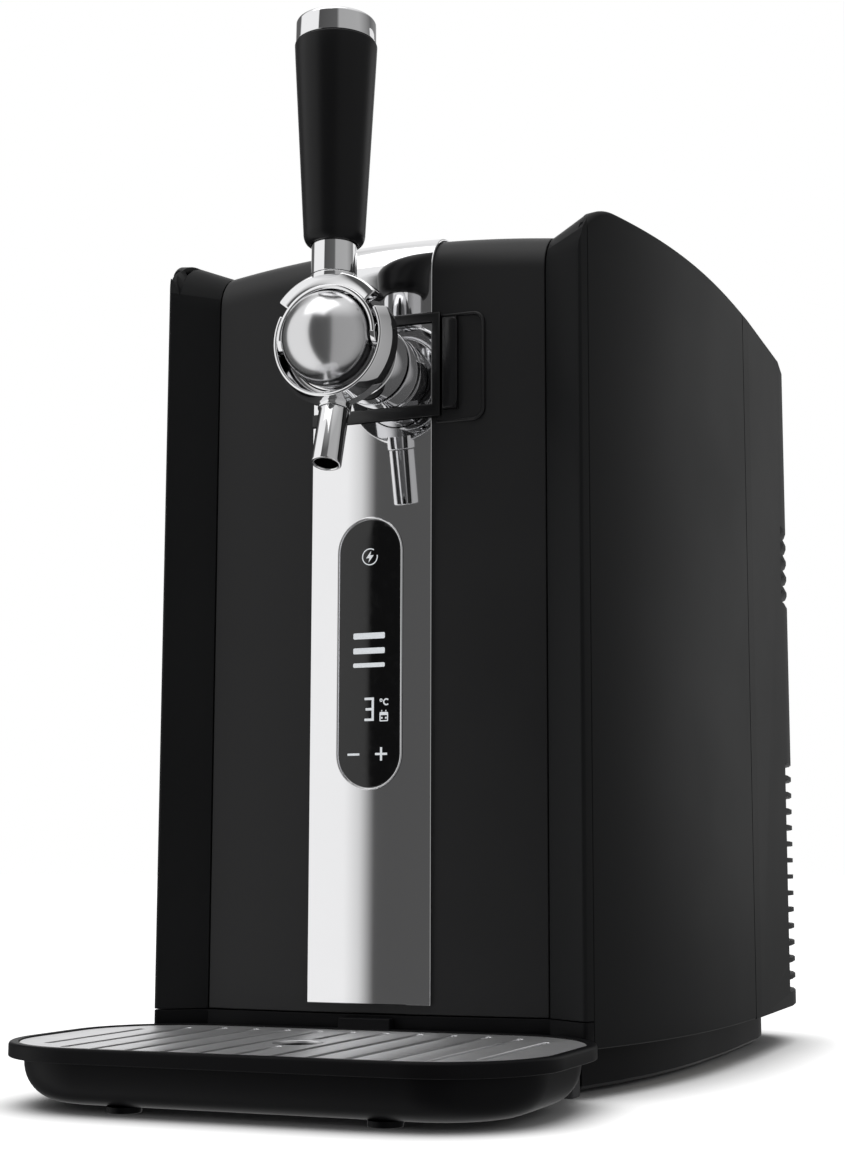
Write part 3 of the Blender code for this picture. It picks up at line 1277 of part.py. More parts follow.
def display():
    """The glass pill in the strip, its thin bezel and the board behind."""
    glass = front_prism(pill(PILL_X, PILL_LOW, PILL_HIGH), PILL_FRONT, PILL_FRONT + GLASS_WALL)
    piece("display_glass", glass, GLASS_BLACK, smooth=True)
    edge = GAP + BEZEL_WIDTH
    outer = pill(PILL_X + edge, PILL_LOW - edge, PILL_HIGH + edge)
    bezel = piece("display_bezel", front_prism(outer, PILL_FRONT - BEZEL_WALL, PILL_FRONT), CHROME, smooth=True)
    inner = pill(PILL_X + GAP, PILL_LOW - GAP, PILL_HIGH + GAP)
    cut(bezel, front_prism(inner, PILL_FRONT - OVERRUN, PILL_FRONT + OVERRUN), "middle")
    near = PILL_FRONT + GLASS_WALL + GAP
    low, high = PILL_LOW + DISPLAY_BOARD_END, PILL_HIGH - DISPLAY_BOARD_END
    plate = box((-DISPLAY_BOARD_X, near, low), (DISPLAY_BOARD_X, near + DISPLAY_BOARD_WALL, high))
    board = piece("display_board", plate, BOARD_GREEN)
    middle = (low + high) / 2
    chip = box(
        (-DISPLAY_CHIP, near + DISPLAY_BOARD_WALL / 2, middle - DISPLAY_CHIP),
        (DISPLAY_CHIP, PANEL_BACK, middle + DISPLAY_CHIP),
    )
    join(board, chip, "chip")


# Tap


def tap_body():
    """Shank through the door with its nut, and the collar ring in front, open above for the lever."""
    axis = along_y(0, 0, TAP_Z)
    spout_axis = spout_place()
    front = COLLAR_BACK + GAP
    shoulder = STRIP_FRONT + STRIP_PROUD - TAP_PLATE_WALL - 2 * GAP
    groove = SHANK_RADIUS - SHANK_GROOVE
    profile = [
        (SHANK_BORE_RADIUS, front),
        (SHANK_RADIUS, front),
        (SHANK_RADIUS, SHANK_SEAM_Y - SHANK_GROOVE),
        (groove, SHANK_SEAM_Y - SHANK_GROOVE / 2),
        (groove, SHANK_SEAM_Y + SHANK_GROOVE / 2),
        (SHANK_RADIUS, SHANK_SEAM_Y + SHANK_GROOVE),
        (SHANK_RADIUS, BAR_FRONT - GAP),
        (SHANK_END_RADIUS, BAR_FRONT - GAP),
        (SHANK_END_RADIUS, shoulder),
        (SHANK_NECK_RADIUS, shoulder),
        (SHANK_NECK_RADIUS, SHANK_BACK),
        (SHANK_BORE_RADIUS, SHANK_BACK),
    ]
    shank = piece("tap_shank", turned(profile, ROUND_STEPS, closed=True, place=axis), CHROME, smooth=True)
    line = rod(SPOUT_BORE_RADIUS, -SPOUT_BORE_REACH, SPOUT_START + OVERRUN, spout_axis)
    cut(shank, line, "beer_line")
    nut_front = PANEL_BACK + DOOR_FLOOR_WALL + 2 * GAP
    nut = piece("shank_nut", rod(NUT_RADIUS, nut_front, nut_front + NUT_WALL, axis, NUT_SIDES), SATIN_STEEL)
    cut(nut, rod(SHANK_NECK_RADIUS + GAP, nut_front - OVERRUN, nut_front + 2 * OVERRUN, axis, ROUND_STEPS), "hole")
    profile = [
        (SHANK_BORE_RADIUS, COLLAR_DISC_FRONT),
        (COLLAR_INNER, COLLAR_DISC_FRONT),
        (COLLAR_INNER, COLLAR_FRONT),
        (COLLAR_RIM_RADIUS, COLLAR_FRONT),
        (COLLAR_OUTER, COLLAR_SHOULDER_Y),
        (COLLAR_OUTER, COLLAR_BACK),
        (SHANK_BORE_RADIUS, COLLAR_BACK),
    ]
    collar = piece("tap_collar", turned(profile, ROUND_STEPS, closed=True, place=axis), CHROME, smooth=True)
    join(collar, rod(SPOUT_BOSS_RADIUS, SPOUT_BOSS_START, SPOUT_START - GAP, spout_axis), "spout_boss")
    cut(collar, line, "beer_line")
    inner = COLLAR_INNER - COLLAR_OPENING_DEPTH
    sector = arc_band(inner, COLLAR_OUTER + OVERRUN, COLLAR_END_ANGLE)
    cut(collar, front_prism(sector, COLLAR_FRONT - OVERRUN, COLLAR_BACK + OVERRUN), "lever_opening")
    spout = tube(SPOUT_BORE_RADIUS, SPOUT_RADIUS, SPOUT_START, SPOUT_END, spout_axis)
    piece("spout", spout, CHROME, smooth=True)


def spout_place():
    """Stands a turned shape's height along the spout, downwards from its root."""
    return Matrix.Translation((0, SPOUT_ROOT_Y, SPOUT_ROOT_Z)) @ Matrix.Rotation(math.pi - SPOUT_TILT, 4, "X")


def arc_band(inner, outer, low_angle, steps=12):
    """(x, z) outline of a band round the top of the tap, between two low ends of equal angle."""
    sweep = [low_angle + (math.pi - 2 * low_angle) * step / steps for step in range(steps + 1)]
    near = [(inner * math.cos(a), TAP_Z + inner * math.sin(a)) for a in sweep]
    far = [(outer * math.cos(a), TAP_Z + outer * math.sin(a)) for a in sweep[::-1]]
    return near + far


def tap_ball():
    """The ball in the collar, flat at the back, with bores for the pivot pin and the plunger."""
    end = math.acos((BALL_Y - BALL_BACK) / BALL_RADIUS)
    profile = [(AXIS_NEAR, BALL_Y - BALL_RADIUS)]
    for step in range(1, ROUND_STEPS // 2):
        angle = end * step / (ROUND_STEPS // 2 - 1)
        profile.append((BALL_RADIUS * math.sin(angle), BALL_Y - BALL_RADIUS * math.cos(angle)))
    ball = piece("tap_ball", turned(profile, ROUND_STEPS, place=along_y(0, 0, TAP_Z)), CHROME, smooth=True)
    pivot = along_x(0, BALL_Y, TAP_Z)
    reach = BALL_RADIUS + OVERRUN
    cut(ball, rod(PIVOT_RADIUS + PIVOT_PLAY, -reach, reach, pivot), "pivot_bore")
    far = PLUNGER_FRONT - PLUNGER_TRAVEL - GAP
    bore = rod(SHANK_BORE_RADIUS, far, BALL_BACK + OVERRUN, along_y(0, 0, TAP_Z))
    cut(ball, bore, "plunger_bore")
    piece("lever_pivot_pin", rod(PIVOT_RADIUS, -YOKE_OUTER, YOKE_OUTER, pivot), SATIN_STEEL, smooth=True)
    plunger = rod(PLUNGER_RADIUS, PLUNGER_FRONT, PLUNGER_BACK, along_y(0, 0, TAP_Z))
    piece("pinch_plunger", plunger, BLACK_TRIM, axis_point=(0, PLUNGER_FRONT, TAP_Z), smooth=True)


def tap_lever():
    """Yoke with its hood over the ball, stem, grip and cap, all turning about the pivot pin."""
    axis = (0, BALL_Y, TAP_Z)
    band = front_prism(
        arc_band(YOKE_INNER, YOKE_OUTER, 0, 24), BALL_Y - YOKE_HALF_WIDTH, BALL_Y + YOKE_HALF_WIDTH
    )
    yoke = piece("lever_yoke", band, CHROME, axis_point=axis, smooth=True)
    hood = arc_band((YOKE_INNER + YOKE_OUTER) / 2, HOOD_OUTER, HOOD_END_ANGLE)
    join(yoke, front_prism(hood, HOOD_FRONT, HOOD_BACK), "hood")
    stem_place = Matrix.Translation((0, STEM_Y, 0))
    boss = rod(STEM_RADIUS + GAP, HOOD_TOP - HOOD_BOSS, HOOD_TOP, stem_place, ROUND_STEPS)
    join(yoke, boss, "stem_boss")
    for side, word in ((-1, "left"), (1, "right")):
        ends = sorted((side * (YOKE_INNER + GAP), side * (YOKE_OUTER - GAP)))
        join(yoke, rod(YOKE_HALF_WIDTH - GAP, *ends, along_x(0, BALL_Y, TAP_Z)), f"{word}_hub")
    reach = YOKE_OUTER + OVERRUN
    cut(yoke, rod(PIVOT_RADIUS + PIVOT_PLAY, -reach, reach, along_x(0, BALL_Y, TAP_Z)), "pivot_bore")
    grip_bottom = HOOD_TOP + STEM_SHOWN
    grip_top = grip_bottom + GRIP_HEIGHT
    stem_top = grip_bottom + STEM_IN_GRIP
    stem = rod(STEM_RADIUS, HOOD_TOP + GAP, stem_top, stem_place, ROUND_STEPS)
    piece("lever_stem", stem, CHROME, axis_point=axis, smooth=True)
    profile = [(AXIS_NEAR, stem_top + GAP), (STEM_RADIUS + GAP, stem_top + GAP), (STEM_RADIUS + GAP, grip_bottom)]
    for step in range(ARC_STEPS + 1):
        angle = math.pi / 2 * step / ARC_STEPS
        inward = (GRIP_LOWER_RADIUS - STEM_RADIUS - 2 * GAP) * (1 - math.sin(angle))
        profile.append((GRIP_LOWER_RADIUS - inward, grip_bottom + GRIP_ROUNDING * (1 - math.cos(angle))))
    profile += [(GRIP_UPPER_RADIUS, grip_top), (AXIS_NEAR, grip_top)]
    grip = turned(profile, ROUND_STEPS, place=stem_place)
    piece("handle_grip", grip, BLACK_GRIP, axis_point=axis, smooth=True)
    low = grip_top + GAP
    top = low + CAP_HEIGHT
    profile = [(AXIS_NEAR, low), (CAP_RADIUS, low), (CAP_RADIUS, top - CAP_DOME)]
    for step in range(1, ARC_STEPS):
        angle = math.pi / 2 * step / ARC_STEPS
        profile.append((CAP_RADIUS - CAP_EDGE * (1 - math.cos(angle)), top - CAP_DOME * (1 - math.sin(angle))))
    profile.append((AXIS_NEAR, top))
    piece("handle_cap", turned(profile, ROUND_STEPS, place=stem_place), CHROME, axis_point=axis, smooth=True)


# Drip tray


def tray_ring(inset):
    """Plan outline of the tray, drawn in by an inset."""
    return round_rectangle(TRAY_X - inset, TRAY_FRONT + inset, TRAY_BACK - inset, TRAY_CORNER - inset)


def drip_tray():
    """The bowl on its feet and the rim on top with the tab that meets the fascia."""
    bowl_top = TRAY_RIM_TOP - TRAY_RIM_HEIGHT - GAP
    outer, inner = [], []
    for step in range(ARC_STEPS + 1):
        angle = math.pi / 2 * step / ARC_STEPS
        across, up = 1 - math.sin(angle), 1 - math.cos(angle)
        outer.append((TRAY_BOWL_INSET + TRAY_BOWL_ROUNDING * across, TRAY_BOWL_BOTTOM + TRAY_BOWL_ROUNDING * up))
        hollow = TRAY_BOWL_ROUNDING - TRAY_WALL
        wall_inset = TRAY_BOWL_INSET + TRAY_WALL + hollow * across
        inner.append((wall_inset, TRAY_BOWL_BOTTOM + TRAY_WALL + hollow * up))
    levels = [*outer, (TRAY_BOWL_INSET, bowl_top), (TRAY_BOWL_INSET + TRAY_WALL, bowl_top), *inner[::-1]]
    rings = [[(x, y, z) for x, y in tray_ring(inset)] for inset, z in levels]
    bowl = piece("tray_bowl", loft(rings), BLACK_BASE, smooth=True)
    middle = (TRAY_FRONT + TRAY_BACK) / 2
    pads = []
    for x in (-TRAY_FOOT_X, TRAY_FOOT_X):
        for y in (middle - TRAY_FOOT_Y, middle + TRAY_FOOT_Y):
            pads.append(rod(TRAY_FOOT_RADIUS, 0, TRAY_BOWL_BOTTOM + TRAY_WALL / 2, Matrix.Translation((x, y, 0))))
    join(bowl, together(*pads), "feet")
    rim_low = TRAY_RIM_TOP - TRAY_RIM_HEIGHT
    rim = piece("tray_rim", prism(tray_ring(0), rim_low, TRAY_RIM_TOP), BLACK_BASE, smooth=True)
    seat = TRAY_RIM_TOP - GRATE_DROP - GRATE_WALL - GAP
    cut(rim, prism(tray_ring(TRAY_RIM_WIDTH), seat, TRAY_RIM_TOP + OVERRUN), "grate_seat")
    ledge = tray_ring(TRAY_RIM_WIDTH + TRAY_LEDGE)
    cut(rim, prism(ledge, rim_low - OVERRUN, seat + OVERRUN / 2), "middle")
    tab = box(
        (-TAB_X, TRAY_BACK - TRAY_RIM_WIDTH + GAP, rim_low + GAP),
        (TAB_X, -PANEL_BULGE - GAP, TAB_TOP),
    )
    join(rim, tab, "tab")


def drip_grate():
    """The slotted steel plate in the rim, with the round drain hole under the spout."""
    low = TRAY_RIM_TOP - GRATE_DROP - GRATE_WALL
    high = TRAY_RIM_TOP - GRATE_DROP
    grate = piece("drip_grate", prism(tray_ring(TRAY_RIM_WIDTH + GAP), low, high), SATIN_STEEL, smooth=True)
    slots = []
    for row in range(-GRATE_SLOT_ROWS, GRATE_SLOT_ROWS + 1):
        x = row * GRATE_SLOT_PITCH
        beyond = max(abs(x) - (TRAY_X - GRATE_SIDE_MARGIN - TRAY_CORNER), 0)
        short = TRAY_CORNER - math.sqrt(TRAY_CORNER**2 - beyond**2)
        stretches = [(GRATE_SLOT_FRONT + short, GRATE_SLOT_BACK - short)]
        if abs(x) < GRATE_HOLE_RADIUS + GRATE_HOLE_MARGIN:
            reach = math.sqrt((GRATE_HOLE_RADIUS + GRATE_HOLE_MARGIN) ** 2 - x**2)
            near, far = stretches[0]
            stretches = [(near, GRATE_HOLE_Y - reach), (GRATE_HOLE_Y + reach, far)]
        half = GRATE_SLOT_WIDTH / 2
        for near, far in stretches:
            slots.append(box((x - half, near, low - OVERRUN), (x + half, far, high + OVERRUN)))
    cut(grate, together(*slots), "slots")
    drain = rod(GRATE_HOLE_RADIUS, low - OVERRUN, high + OVERRUN, Matrix.Translation((0, GRATE_HOLE_Y, 0)))
    cut(grate, drain, "drain")


plinth()
feet()
front_fascia()
side_shell("side_shell_right", 1, SHELL_FRONT_RIGHT_Y)
side_shell("side_shell_left", -1, SHELL_FRONT_LEFT_Y)
rear_cover()
top_cover()
front_frame()
piece("catch_strip", catch_strip_shape(0, 0), SATIN_STEEL)
chamber_liner()
insulation_jacket()
cooling_unit()
keg_coupler()
air_hose()
air_pump()
power_board()
power_inlet()
rocker_switch()
door_shell()
front_panel()
chrome_strip()
door_inside()
hinges()
tap_frame()
door_pull()
display()
tap_body()
tap_ball()
tap_lever()
drip_tray()
drip_grate()
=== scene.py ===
# Looks of the countertop beer dispenser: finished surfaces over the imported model, camera and light.
# Metres. Depths are counted from the side edges of the front panel, as in the construction.

import math

import bmesh
import bpy
import numpy as np
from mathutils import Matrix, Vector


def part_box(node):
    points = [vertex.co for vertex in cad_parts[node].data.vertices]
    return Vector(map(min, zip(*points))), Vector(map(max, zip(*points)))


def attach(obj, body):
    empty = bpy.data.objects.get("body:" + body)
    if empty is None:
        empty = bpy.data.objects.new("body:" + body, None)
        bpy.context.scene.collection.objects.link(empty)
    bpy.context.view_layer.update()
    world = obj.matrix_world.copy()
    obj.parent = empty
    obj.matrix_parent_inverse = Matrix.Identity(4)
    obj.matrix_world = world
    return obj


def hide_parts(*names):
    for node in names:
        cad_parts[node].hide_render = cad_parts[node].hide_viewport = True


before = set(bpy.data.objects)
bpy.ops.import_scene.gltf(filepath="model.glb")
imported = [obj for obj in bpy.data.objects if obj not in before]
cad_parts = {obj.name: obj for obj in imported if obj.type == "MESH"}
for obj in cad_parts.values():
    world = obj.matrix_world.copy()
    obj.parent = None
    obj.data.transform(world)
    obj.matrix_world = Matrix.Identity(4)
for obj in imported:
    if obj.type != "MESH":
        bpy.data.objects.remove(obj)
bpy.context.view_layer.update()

# Body outline seen from above
RIDGE_X = 0.104
RIDGE_Y = -0.0141
WIDEST_X = 0.1325
WIDEST_Y = 0.195
BODY_BACK = 0.354
REAR_TAPER = 0.005
SIDE_SWELL_POWER = 2.9
REAR_ROUND_POWER = 6
SEAM_Y = 0.182
SEAM_GAP = 0.0005
FRONT_RIGHT_Y = -0.008
FRONT_LEFT_Y = -0.0038
SIDE_FINE_BACK = 0.06

# Body heights and walls
SHELL_BOTTOM = 0.0209
SHELL_TOP = 0.3935
TOP_EDGE_RADIUS = 0.003
BOTTOM_EDGE_RADIUS = 0.0012
RIDGE_ARC_RADIUS = 0.027
SHELL_WALL = 0.003
FRAME_FRONT = 0.0296
LID_FRONT = 0.0286
LID_LIP = 0.001
DOOR_BACK = 0.028
VALLEY_LENGTH = 0.120

# Front panel and cheeks
PANEL_X = 0.08375
PANEL_BULGE = 0.004
PANEL_RADIUS = 0.020
PANEL_EDGE_TOP = 0.3865
PANEL_CROWN = 0.0045
PANEL_BACK = 0.0022
PANEL_SEAM = 0.0006
PANEL_TOP_WALL = 0.0027
PANEL_BOTTOM = 0.0328
CHEEK_TOP_SLOPE = (SHELL_TOP - PANEL_EDGE_TOP) / (RIDGE_X - PANEL_X)
UPRIGHT_ROWS = 10
TOP_ROWS = 3

# Door's hinge and its rounded corner
HINGE_X = -0.103
HINGE_Y = -0.0075
SWING_RADIUS = 0.2052
SWING_CLEARANCE = 0.0005
CORNER_FRONT = -0.0107
CORNER_BACK = -0.0042
CORNER_RADIUS = 0.0036
CORNER_INNER = -0.1000
CORNER_LOW = 0.3560
CORNER_SOFT_SHARE = 0.6

# Bright strip
STRIP_X = 0.0301
STRIP_EDGE = 0.0005
STRIP_PROUD = 0.002
STRIP_TOP_PROUD = 0.0012
STRIP_BOTTOM = 0.037
TAP_PLATE_PROUD = 0.0015

# Black frame round the tap, finger pocket and pull
BAR_LOWER_LOW = 0.3016
BAR_LOWER_HIGH = 0.3072
BAR_UPPER_LOW = 0.3462
BAR_UPPER_HIGH = 0.3503
BAR_FRONT = -0.0064
BAR_BACK = -0.0043
BAR_LEFT = -0.0301
UPRIGHT_LEFT = 0.0306
UPRIGHT_RIGHT = 0.0343
CUP_LEFT = 0.0310
CUP_LOW = 0.3001
CUP_HIGH = 0.3483
CUP_RIGHT = 0.0537
CUP_WALL = 0.0015
CUP_RIM = -0.0037
CUP_FLOOR = 0.0105
CUP_FILLET = 0.001
CUP_CORNER = 0.0042
CUP_CUT_FRONT = -0.02
PULL_FACE = ((0.0358, 0.3050), (0.0428, 0.3472))
PULL_FACE_CORNERS = (0.0034, 0.0026, 0.0006, 0.0006)
PULL_FACE_FRONT = -0.0066
PULL_FACE_BACK = -0.0062

# Display
PILL_X = 0.0152
PILL_LOW = 0.1328
PILL_HIGH = 0.2557
PILL_FRONT = -0.0063
GLASS_WALL = 0.0018
BEZEL_WIDTH = 0.0008
BEZEL_WALL = 0.0005

# Marks on the display, in (x, z)
INK_LIFT = 0.00006
BOLT = [(0.0006, 0.2410), (-0.0019, 0.2377), (-0.0002, 0.2377)]
BOLT += [(-0.0007, 0.2356), (0.0019, 0.2390), (0.0002, 0.2390)]
POWER_RING = (0.0037, 0, 0.2383)
POWER_RING_WIDTH = 0.0005
LEVEL_BARS = ((0.2004, 0.2032), (0.1936, 0.1963), (0.1874, 0.1894))
LEVEL_BAR_X = (-0.0080, 0.0077)
DIGIT_X = (-0.0022, 0.0019)
DIGIT_Z = (0.1635, 0.1730)
DIGIT_WIDTH = 0.0011
DEGREE_PLACE = (0.0060, 0.1722)
DEGREE_RADII = (0.00075, 0.00035)
CELSIUS_ARC = (0.0013, 0.0086, 0.1714)
CELSIUS_WIDTH = 0.0006
PAGE_OUTER = (0.0053, 0.1626, 0.0095, 0.1668, 0.0004)
PAGE_INNER = (0.0058, 0.1631, 0.0090, 0.1654, 0.0001)
PAGE_COLUMNS = (0.0064, 0.0084)
PAGE_RING = (0.0002, 0.1670, 0.1677)
PAGE_DAY = (0.0004, 0.1638, 0.1646)
SIGN_Z = (0.1474, 0.1484)
MINUS_X = (-0.0105, -0.0046)
PLUS_X = (0.0032, 0.0091)
PLUS_UPRIGHT_X = (0.00565, 0.00665)
PLUS_REACH = (("upper", 0.1484, 0.1509), ("lower", 0.1449, 0.1474))

# Tap
BALL_Y = -0.051
BALL_RADIUS = 0.0213
BALL_BACK = -0.0446
BALL_POLE = 0.002
PLUNGER_ROOM = -0.0476
COLLAR_OUTER = 0.029
COLLAR_INNER = 0.0247
COLLAR_RIM = 0.0262
COLLAR_SHOULDER = -0.0475
COLLAR_FRONT = -0.054
COLLAR_DISC_FRONT = -0.0443
COLLAR_DISC_RADIUS = 0.0225
COLLAR_ROOT = COLLAR_DISC_RADIUS - 0.001
COLLAR_BACK = -0.0412
COLLAR_END_ANGLE = math.radians(28)
BORE = 0.006
SHANK_RADIUS = 0.0188
SHANK_END_RADIUS = 0.0168
SHANK_NECK_RADIUS = 0.0115
SHANK_FRONT = -0.0409
SHANK_SEAM_Y = -0.020
SHANK_GROOVE = 0.0006
SHANK_STEP = -0.0067
SHANK_SHOULDER = -0.0056
SHANK_BACK = 0.012
SHANK_EDGE = 0.0007
SPOUT_ROOT = (0, -0.0437, 0.3039)
SPOUT_TILT = math.radians(16.6)
SPOUT_START = 0.0070
SPOUT_END = 0.0333
SPOUT_RADIUS = 0.00675
SPOUT_BORE = 0.00525
SOCKET_RADIUS = 0.0074
SOCKET_START = 0.0005

# Lever and handle
YOKE_INNER = 0.0217
YOKE_OUTER = 0.0238
YOKE_HALF_WIDTH = 0.005
HUB_BORE = 0.003
HUB_RADIUS = 0.0047
HOOD_OUTER = 0.030
HOOD_FRONT = -0.055
HOOD_BACK = -0.043
HOOD_EDGE = 0.0014
HOOD_END_ANGLE = math.radians(38)
HOOD_TOP = 0.3587
HOOD_BOSS = 0.0022
SEAT_RADIUS = 0.0105
STEM_Y = -0.047
STEM_RADIUS = 0.0102
STEM_TOP = 0.3795
GRIP_BOTTOM = 0.373
GRIP_TOP = 0.4671
GRIP_LOWER_RADIUS = 0.01385
GRIP_UPPER_RADIUS = 0.01875
GRIP_ROUNDING = 0.005
GRIP_CROWN = 0.0008
CAP_RADIUS = 0.01825
CAP_TOP = 0.4795
CAP_DOME = 0.0012
CAP_ROUNDING = 0.0022
CAP_POLE = 0.0001

# Drip tray
TRAY_X = 0.120
TRAY_FRONT = -0.1376
TRAY_BACK = -0.0064
TRAY_CORNER = 0.049
RIM_TOP = 0.0265
RIM_LOW = 0.0205
RIM_WIDTH = 0.004
RIM_LEDGE = 0.003
RIM_ROUNDING = 0.0014
BOWL_INSET = 0.0065
BOWL_ROUNDING = 0.016
BOWL_BOTTOM = 0.0025
TRAY_WALL = 0.002
TRAY_FOOT_X = 0.057
TRAY_FOOT_Y = 0.042
TRAY_FOOT_RADIUS = 0.007
TAB_X = 0.0125
TAB_TOP = 0.031
GRATE_DROP = 0.0006
GRATE_WALL = 0.0012
SLOT_PITCH = 0.0158
SLOT_HALF = 0.0017
SLOT_ROWS = 6
SLOT_FRONT = -0.1305
SLOT_BACK = -0.0195
SLOT_SIDE_MARGIN = 0.013
DRAIN_RADIUS = 0.0105
DRAIN_Y = -0.0745
DRAIN_MARGIN = 0.005

# Mesh making: weld distances, gap between parts, radii of small edges, angle that counts as an edge
WELD = 0.000002
TINY = 0.00001
FIT = 0.0003
EDGE_TIGHT = 0.0002
EDGE_CRISP = 0.0003
EDGE_FINE = 0.0004
EDGE_PLAIN = 0.0005
EDGE_SOFT = 0.0006
EDGE_ANGLE = 32

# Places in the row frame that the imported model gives
SHIFT_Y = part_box("rear_cover")[1].y - BODY_BACK
TAP_Z = (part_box("tap_shank")[0].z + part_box("tap_shank")[1].z) / 2


# Meshes from arrays


def put(name, data):
    """An object in the scene that shows the given data."""
    obj = bpy.data.objects.new(name, data)
    bpy.context.scene.collection.objects.link(obj)
    return obj


def quarter(count):
    """1 - sin and 1 - cos at even angles over a quarter turn, for rounding an edge."""
    angle = np.linspace(0, math.pi / 2, count)
    return 1 - np.sin(angle), 1 - np.cos(angle)


def grid_faces(rows, columns, wrap_rows, wrap_columns):
    """Quads between neighbouring points of a rows by columns grid, which may wrap round either way."""
    r = np.arange(rows if wrap_rows else rows - 1)
    c = np.arange(columns if wrap_columns else columns - 1)
    r, c = (a.ravel() for a in np.meshgrid(r, c, indexing="ij"))
    down, right = (r + 1) % rows * columns, (c + 1) % columns
    return np.stack([r * columns + c, down + c, down + right, r * columns + right], 1)


def dressed(name, mesh, material, body, stands_for, sharp):
    """An object that shows a mesh: shaded smooth up to an angle, ridden and standing in."""
    mesh.materials.clear()
    mesh.materials.append(material)
    mesh.shade_smooth()
    mesh.set_sharp_from_angle(angle=math.radians(sharp))
    obj = put(name, mesh)
    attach(obj, body)
    if stands_for:
        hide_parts(*stands_for)
    return obj


def mesh_piece(name, points, faces, material, body, stands_for=(), slot=None, sharp=40):
    """A piece from points in the construction's depths, moved to the row frame."""
    mesh = bpy.data.meshes.new(name)
    points = np.asarray(points, float).reshape(-1, 3) + (0, SHIFT_Y, 0)
    mesh.from_pydata(points.tolist(), [], [list(map(int, face)) for face in faces])
    form = bmesh.new()
    form.from_mesh(mesh)
    bmesh.ops.remove_doubles(form, verts=form.verts, dist=WELD)
    bmesh.ops.dissolve_degenerate(form, edges=form.edges, dist=WELD)
    bmesh.ops.recalc_face_normals(form, faces=form.faces)
    form.to_mesh(mesh)
    form.free()
    return dressed(name, mesh, material, body, stands_for, sharp)


def refined(node, material, body, width, slot):
    """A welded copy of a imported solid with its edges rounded, standing for it."""
    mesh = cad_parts[node].data.copy()
    mesh.name = f"{node}_skin"
    form = bmesh.new()
    form.from_mesh(mesh)
    bmesh.ops.remove_doubles(form, verts=form.verts, dist=WELD)
    flat = math.radians(1)
    bmesh.ops.dissolve_limit(form, angle_limit=flat, verts=form.verts, edges=form.edges)
    form.to_mesh(mesh)
    form.free()
    obj = dressed(f"{node}_skin", mesh, material, body, [node], EDGE_ANGLE)
    return round_edges(obj, width)


def round_edges(obj, width):
    bevel = obj.modifiers.new("round_edges", "BEVEL")
    bevel.width = width
    bevel.segments = 2
    bevel.limit_method = "ANGLE"
    bevel.angle_limit = math.radians(EDGE_ANGLE)
    bevel.harden_normals = True
    bevel.miter_outer = "MITER_ARC"
    return obj


def surface(name, grid, material, body, wrap=(False, True), ends=True, **rest):
    """A grid of points, rows by columns, as one surface. Flat ends close the first and last row."""
    grid = np.asarray(grid, float)
    rows, columns = grid.shape[:2]
    faces = grid_faces(rows, columns, *wrap).tolist()
    if ends:
        faces.append(list(range(columns))[::-1])
        faces.append(list(range((rows - 1) * columns, rows * columns)))
    return mesh_piece(name, grid, faces, material, body, **rest)


def rounded(corners, closed=False, steps=6):
    """A line of (u, v, radius) corners with each corner replaced by an arc of its radius.

    The arc touches both legs: it starts radius / tan(half the corner's angle) before the corner."""
    corners = np.asarray(corners, float)
    count = len(corners)
    line = []
    for i, (u, v, radius) in enumerate(corners):
        at = np.array((u, v))
        if radius == 0 or (not closed and i in (0, count - 1)):
            line.append(at[None])
            continue
        before = corners[i - 1, :2] - at
        after = corners[(i + 1) % count, :2] - at
        before /= np.linalg.norm(before)
        after /= np.linalg.norm(after)
        half = math.acos(np.clip(before @ after, -1, 1)) / 2
        run = radius / math.tan(half)
        between_legs = (before + after) / np.linalg.norm(before + after)
        middle = at + between_legs * radius / math.sin(half)
        a, b = at + before * run - middle, at + after * run - middle
        turn = math.pi - 2 * half
        t = np.linspace(0, 1, steps + 1)[:, None] * turn
        line.append(middle + (a * np.sin(turn - t) + b * np.sin(t)) / math.sin(turn))
    return np.concatenate(line)


def turned(name, profile, axis, material, body, steps=96, closed=False, **rest):
    """A (radius, height) profile turned about an axis: a point, two cross directions, the axis."""
    origin, across, up, along = (np.array(v, float) for v in axis)
    angle = np.linspace(0, 2 * math.pi, steps, endpoint=False)
    radius, height = np.asarray(profile, float).T
    ring = np.cos(angle)[:, None] * across + np.sin(angle)[:, None] * up
    grid = origin + radius[:, None, None] * ring + height[:, None, None] * along
    return surface(name, grid, material, body, (closed, True), not closed, **rest)


def along_depth(x, z):
    """Axis that runs back in depth through (x, z)."""
    return (x, 0, z), (1, 0, 0), (0, 0, -1), (0, 1, 0)


def upright(x, y):
    return (x, y, 0), (1, 0, 0), (0, 1, 0), (0, 0, 1)


def box_section(low_u, high_u, low_v, high_v, radius, steps=5):
    """Rectangle with four equal round corners."""
    corners = (low_u, low_v), (high_u, low_v), (high_u, high_v), (low_u, high_v)
    return rounded([(*corner, radius) for corner in corners], True, steps)


def bar(low_x, low_z, high_x, high_z, radius=0.0):
    return box_section(low_x, high_x, low_z, high_z, radius, 3)


def round_rectangle(half_x, low_y, high_y, radius, steps=24):
    """Outline with round corners, each a quarter arc."""
    radius = max(radius, TINY)
    angle = np.linspace(0, math.pi / 2, steps + 1)
    ahead = np.stack([np.cos(angle), np.sin(angle)], 1)
    middle = np.array((0, (low_y + high_y) / 2))
    reach = np.array((half_x - radius, (high_y - low_y) / 2 - radius))
    turns = ((1, 1), ahead), ((-1, 1), ahead[::-1]), ((-1, -1), ahead), ((1, -1), ahead[::-1])
    return np.concatenate([middle + np.array(side) * (reach + radius * arc) for side, arc in turns])


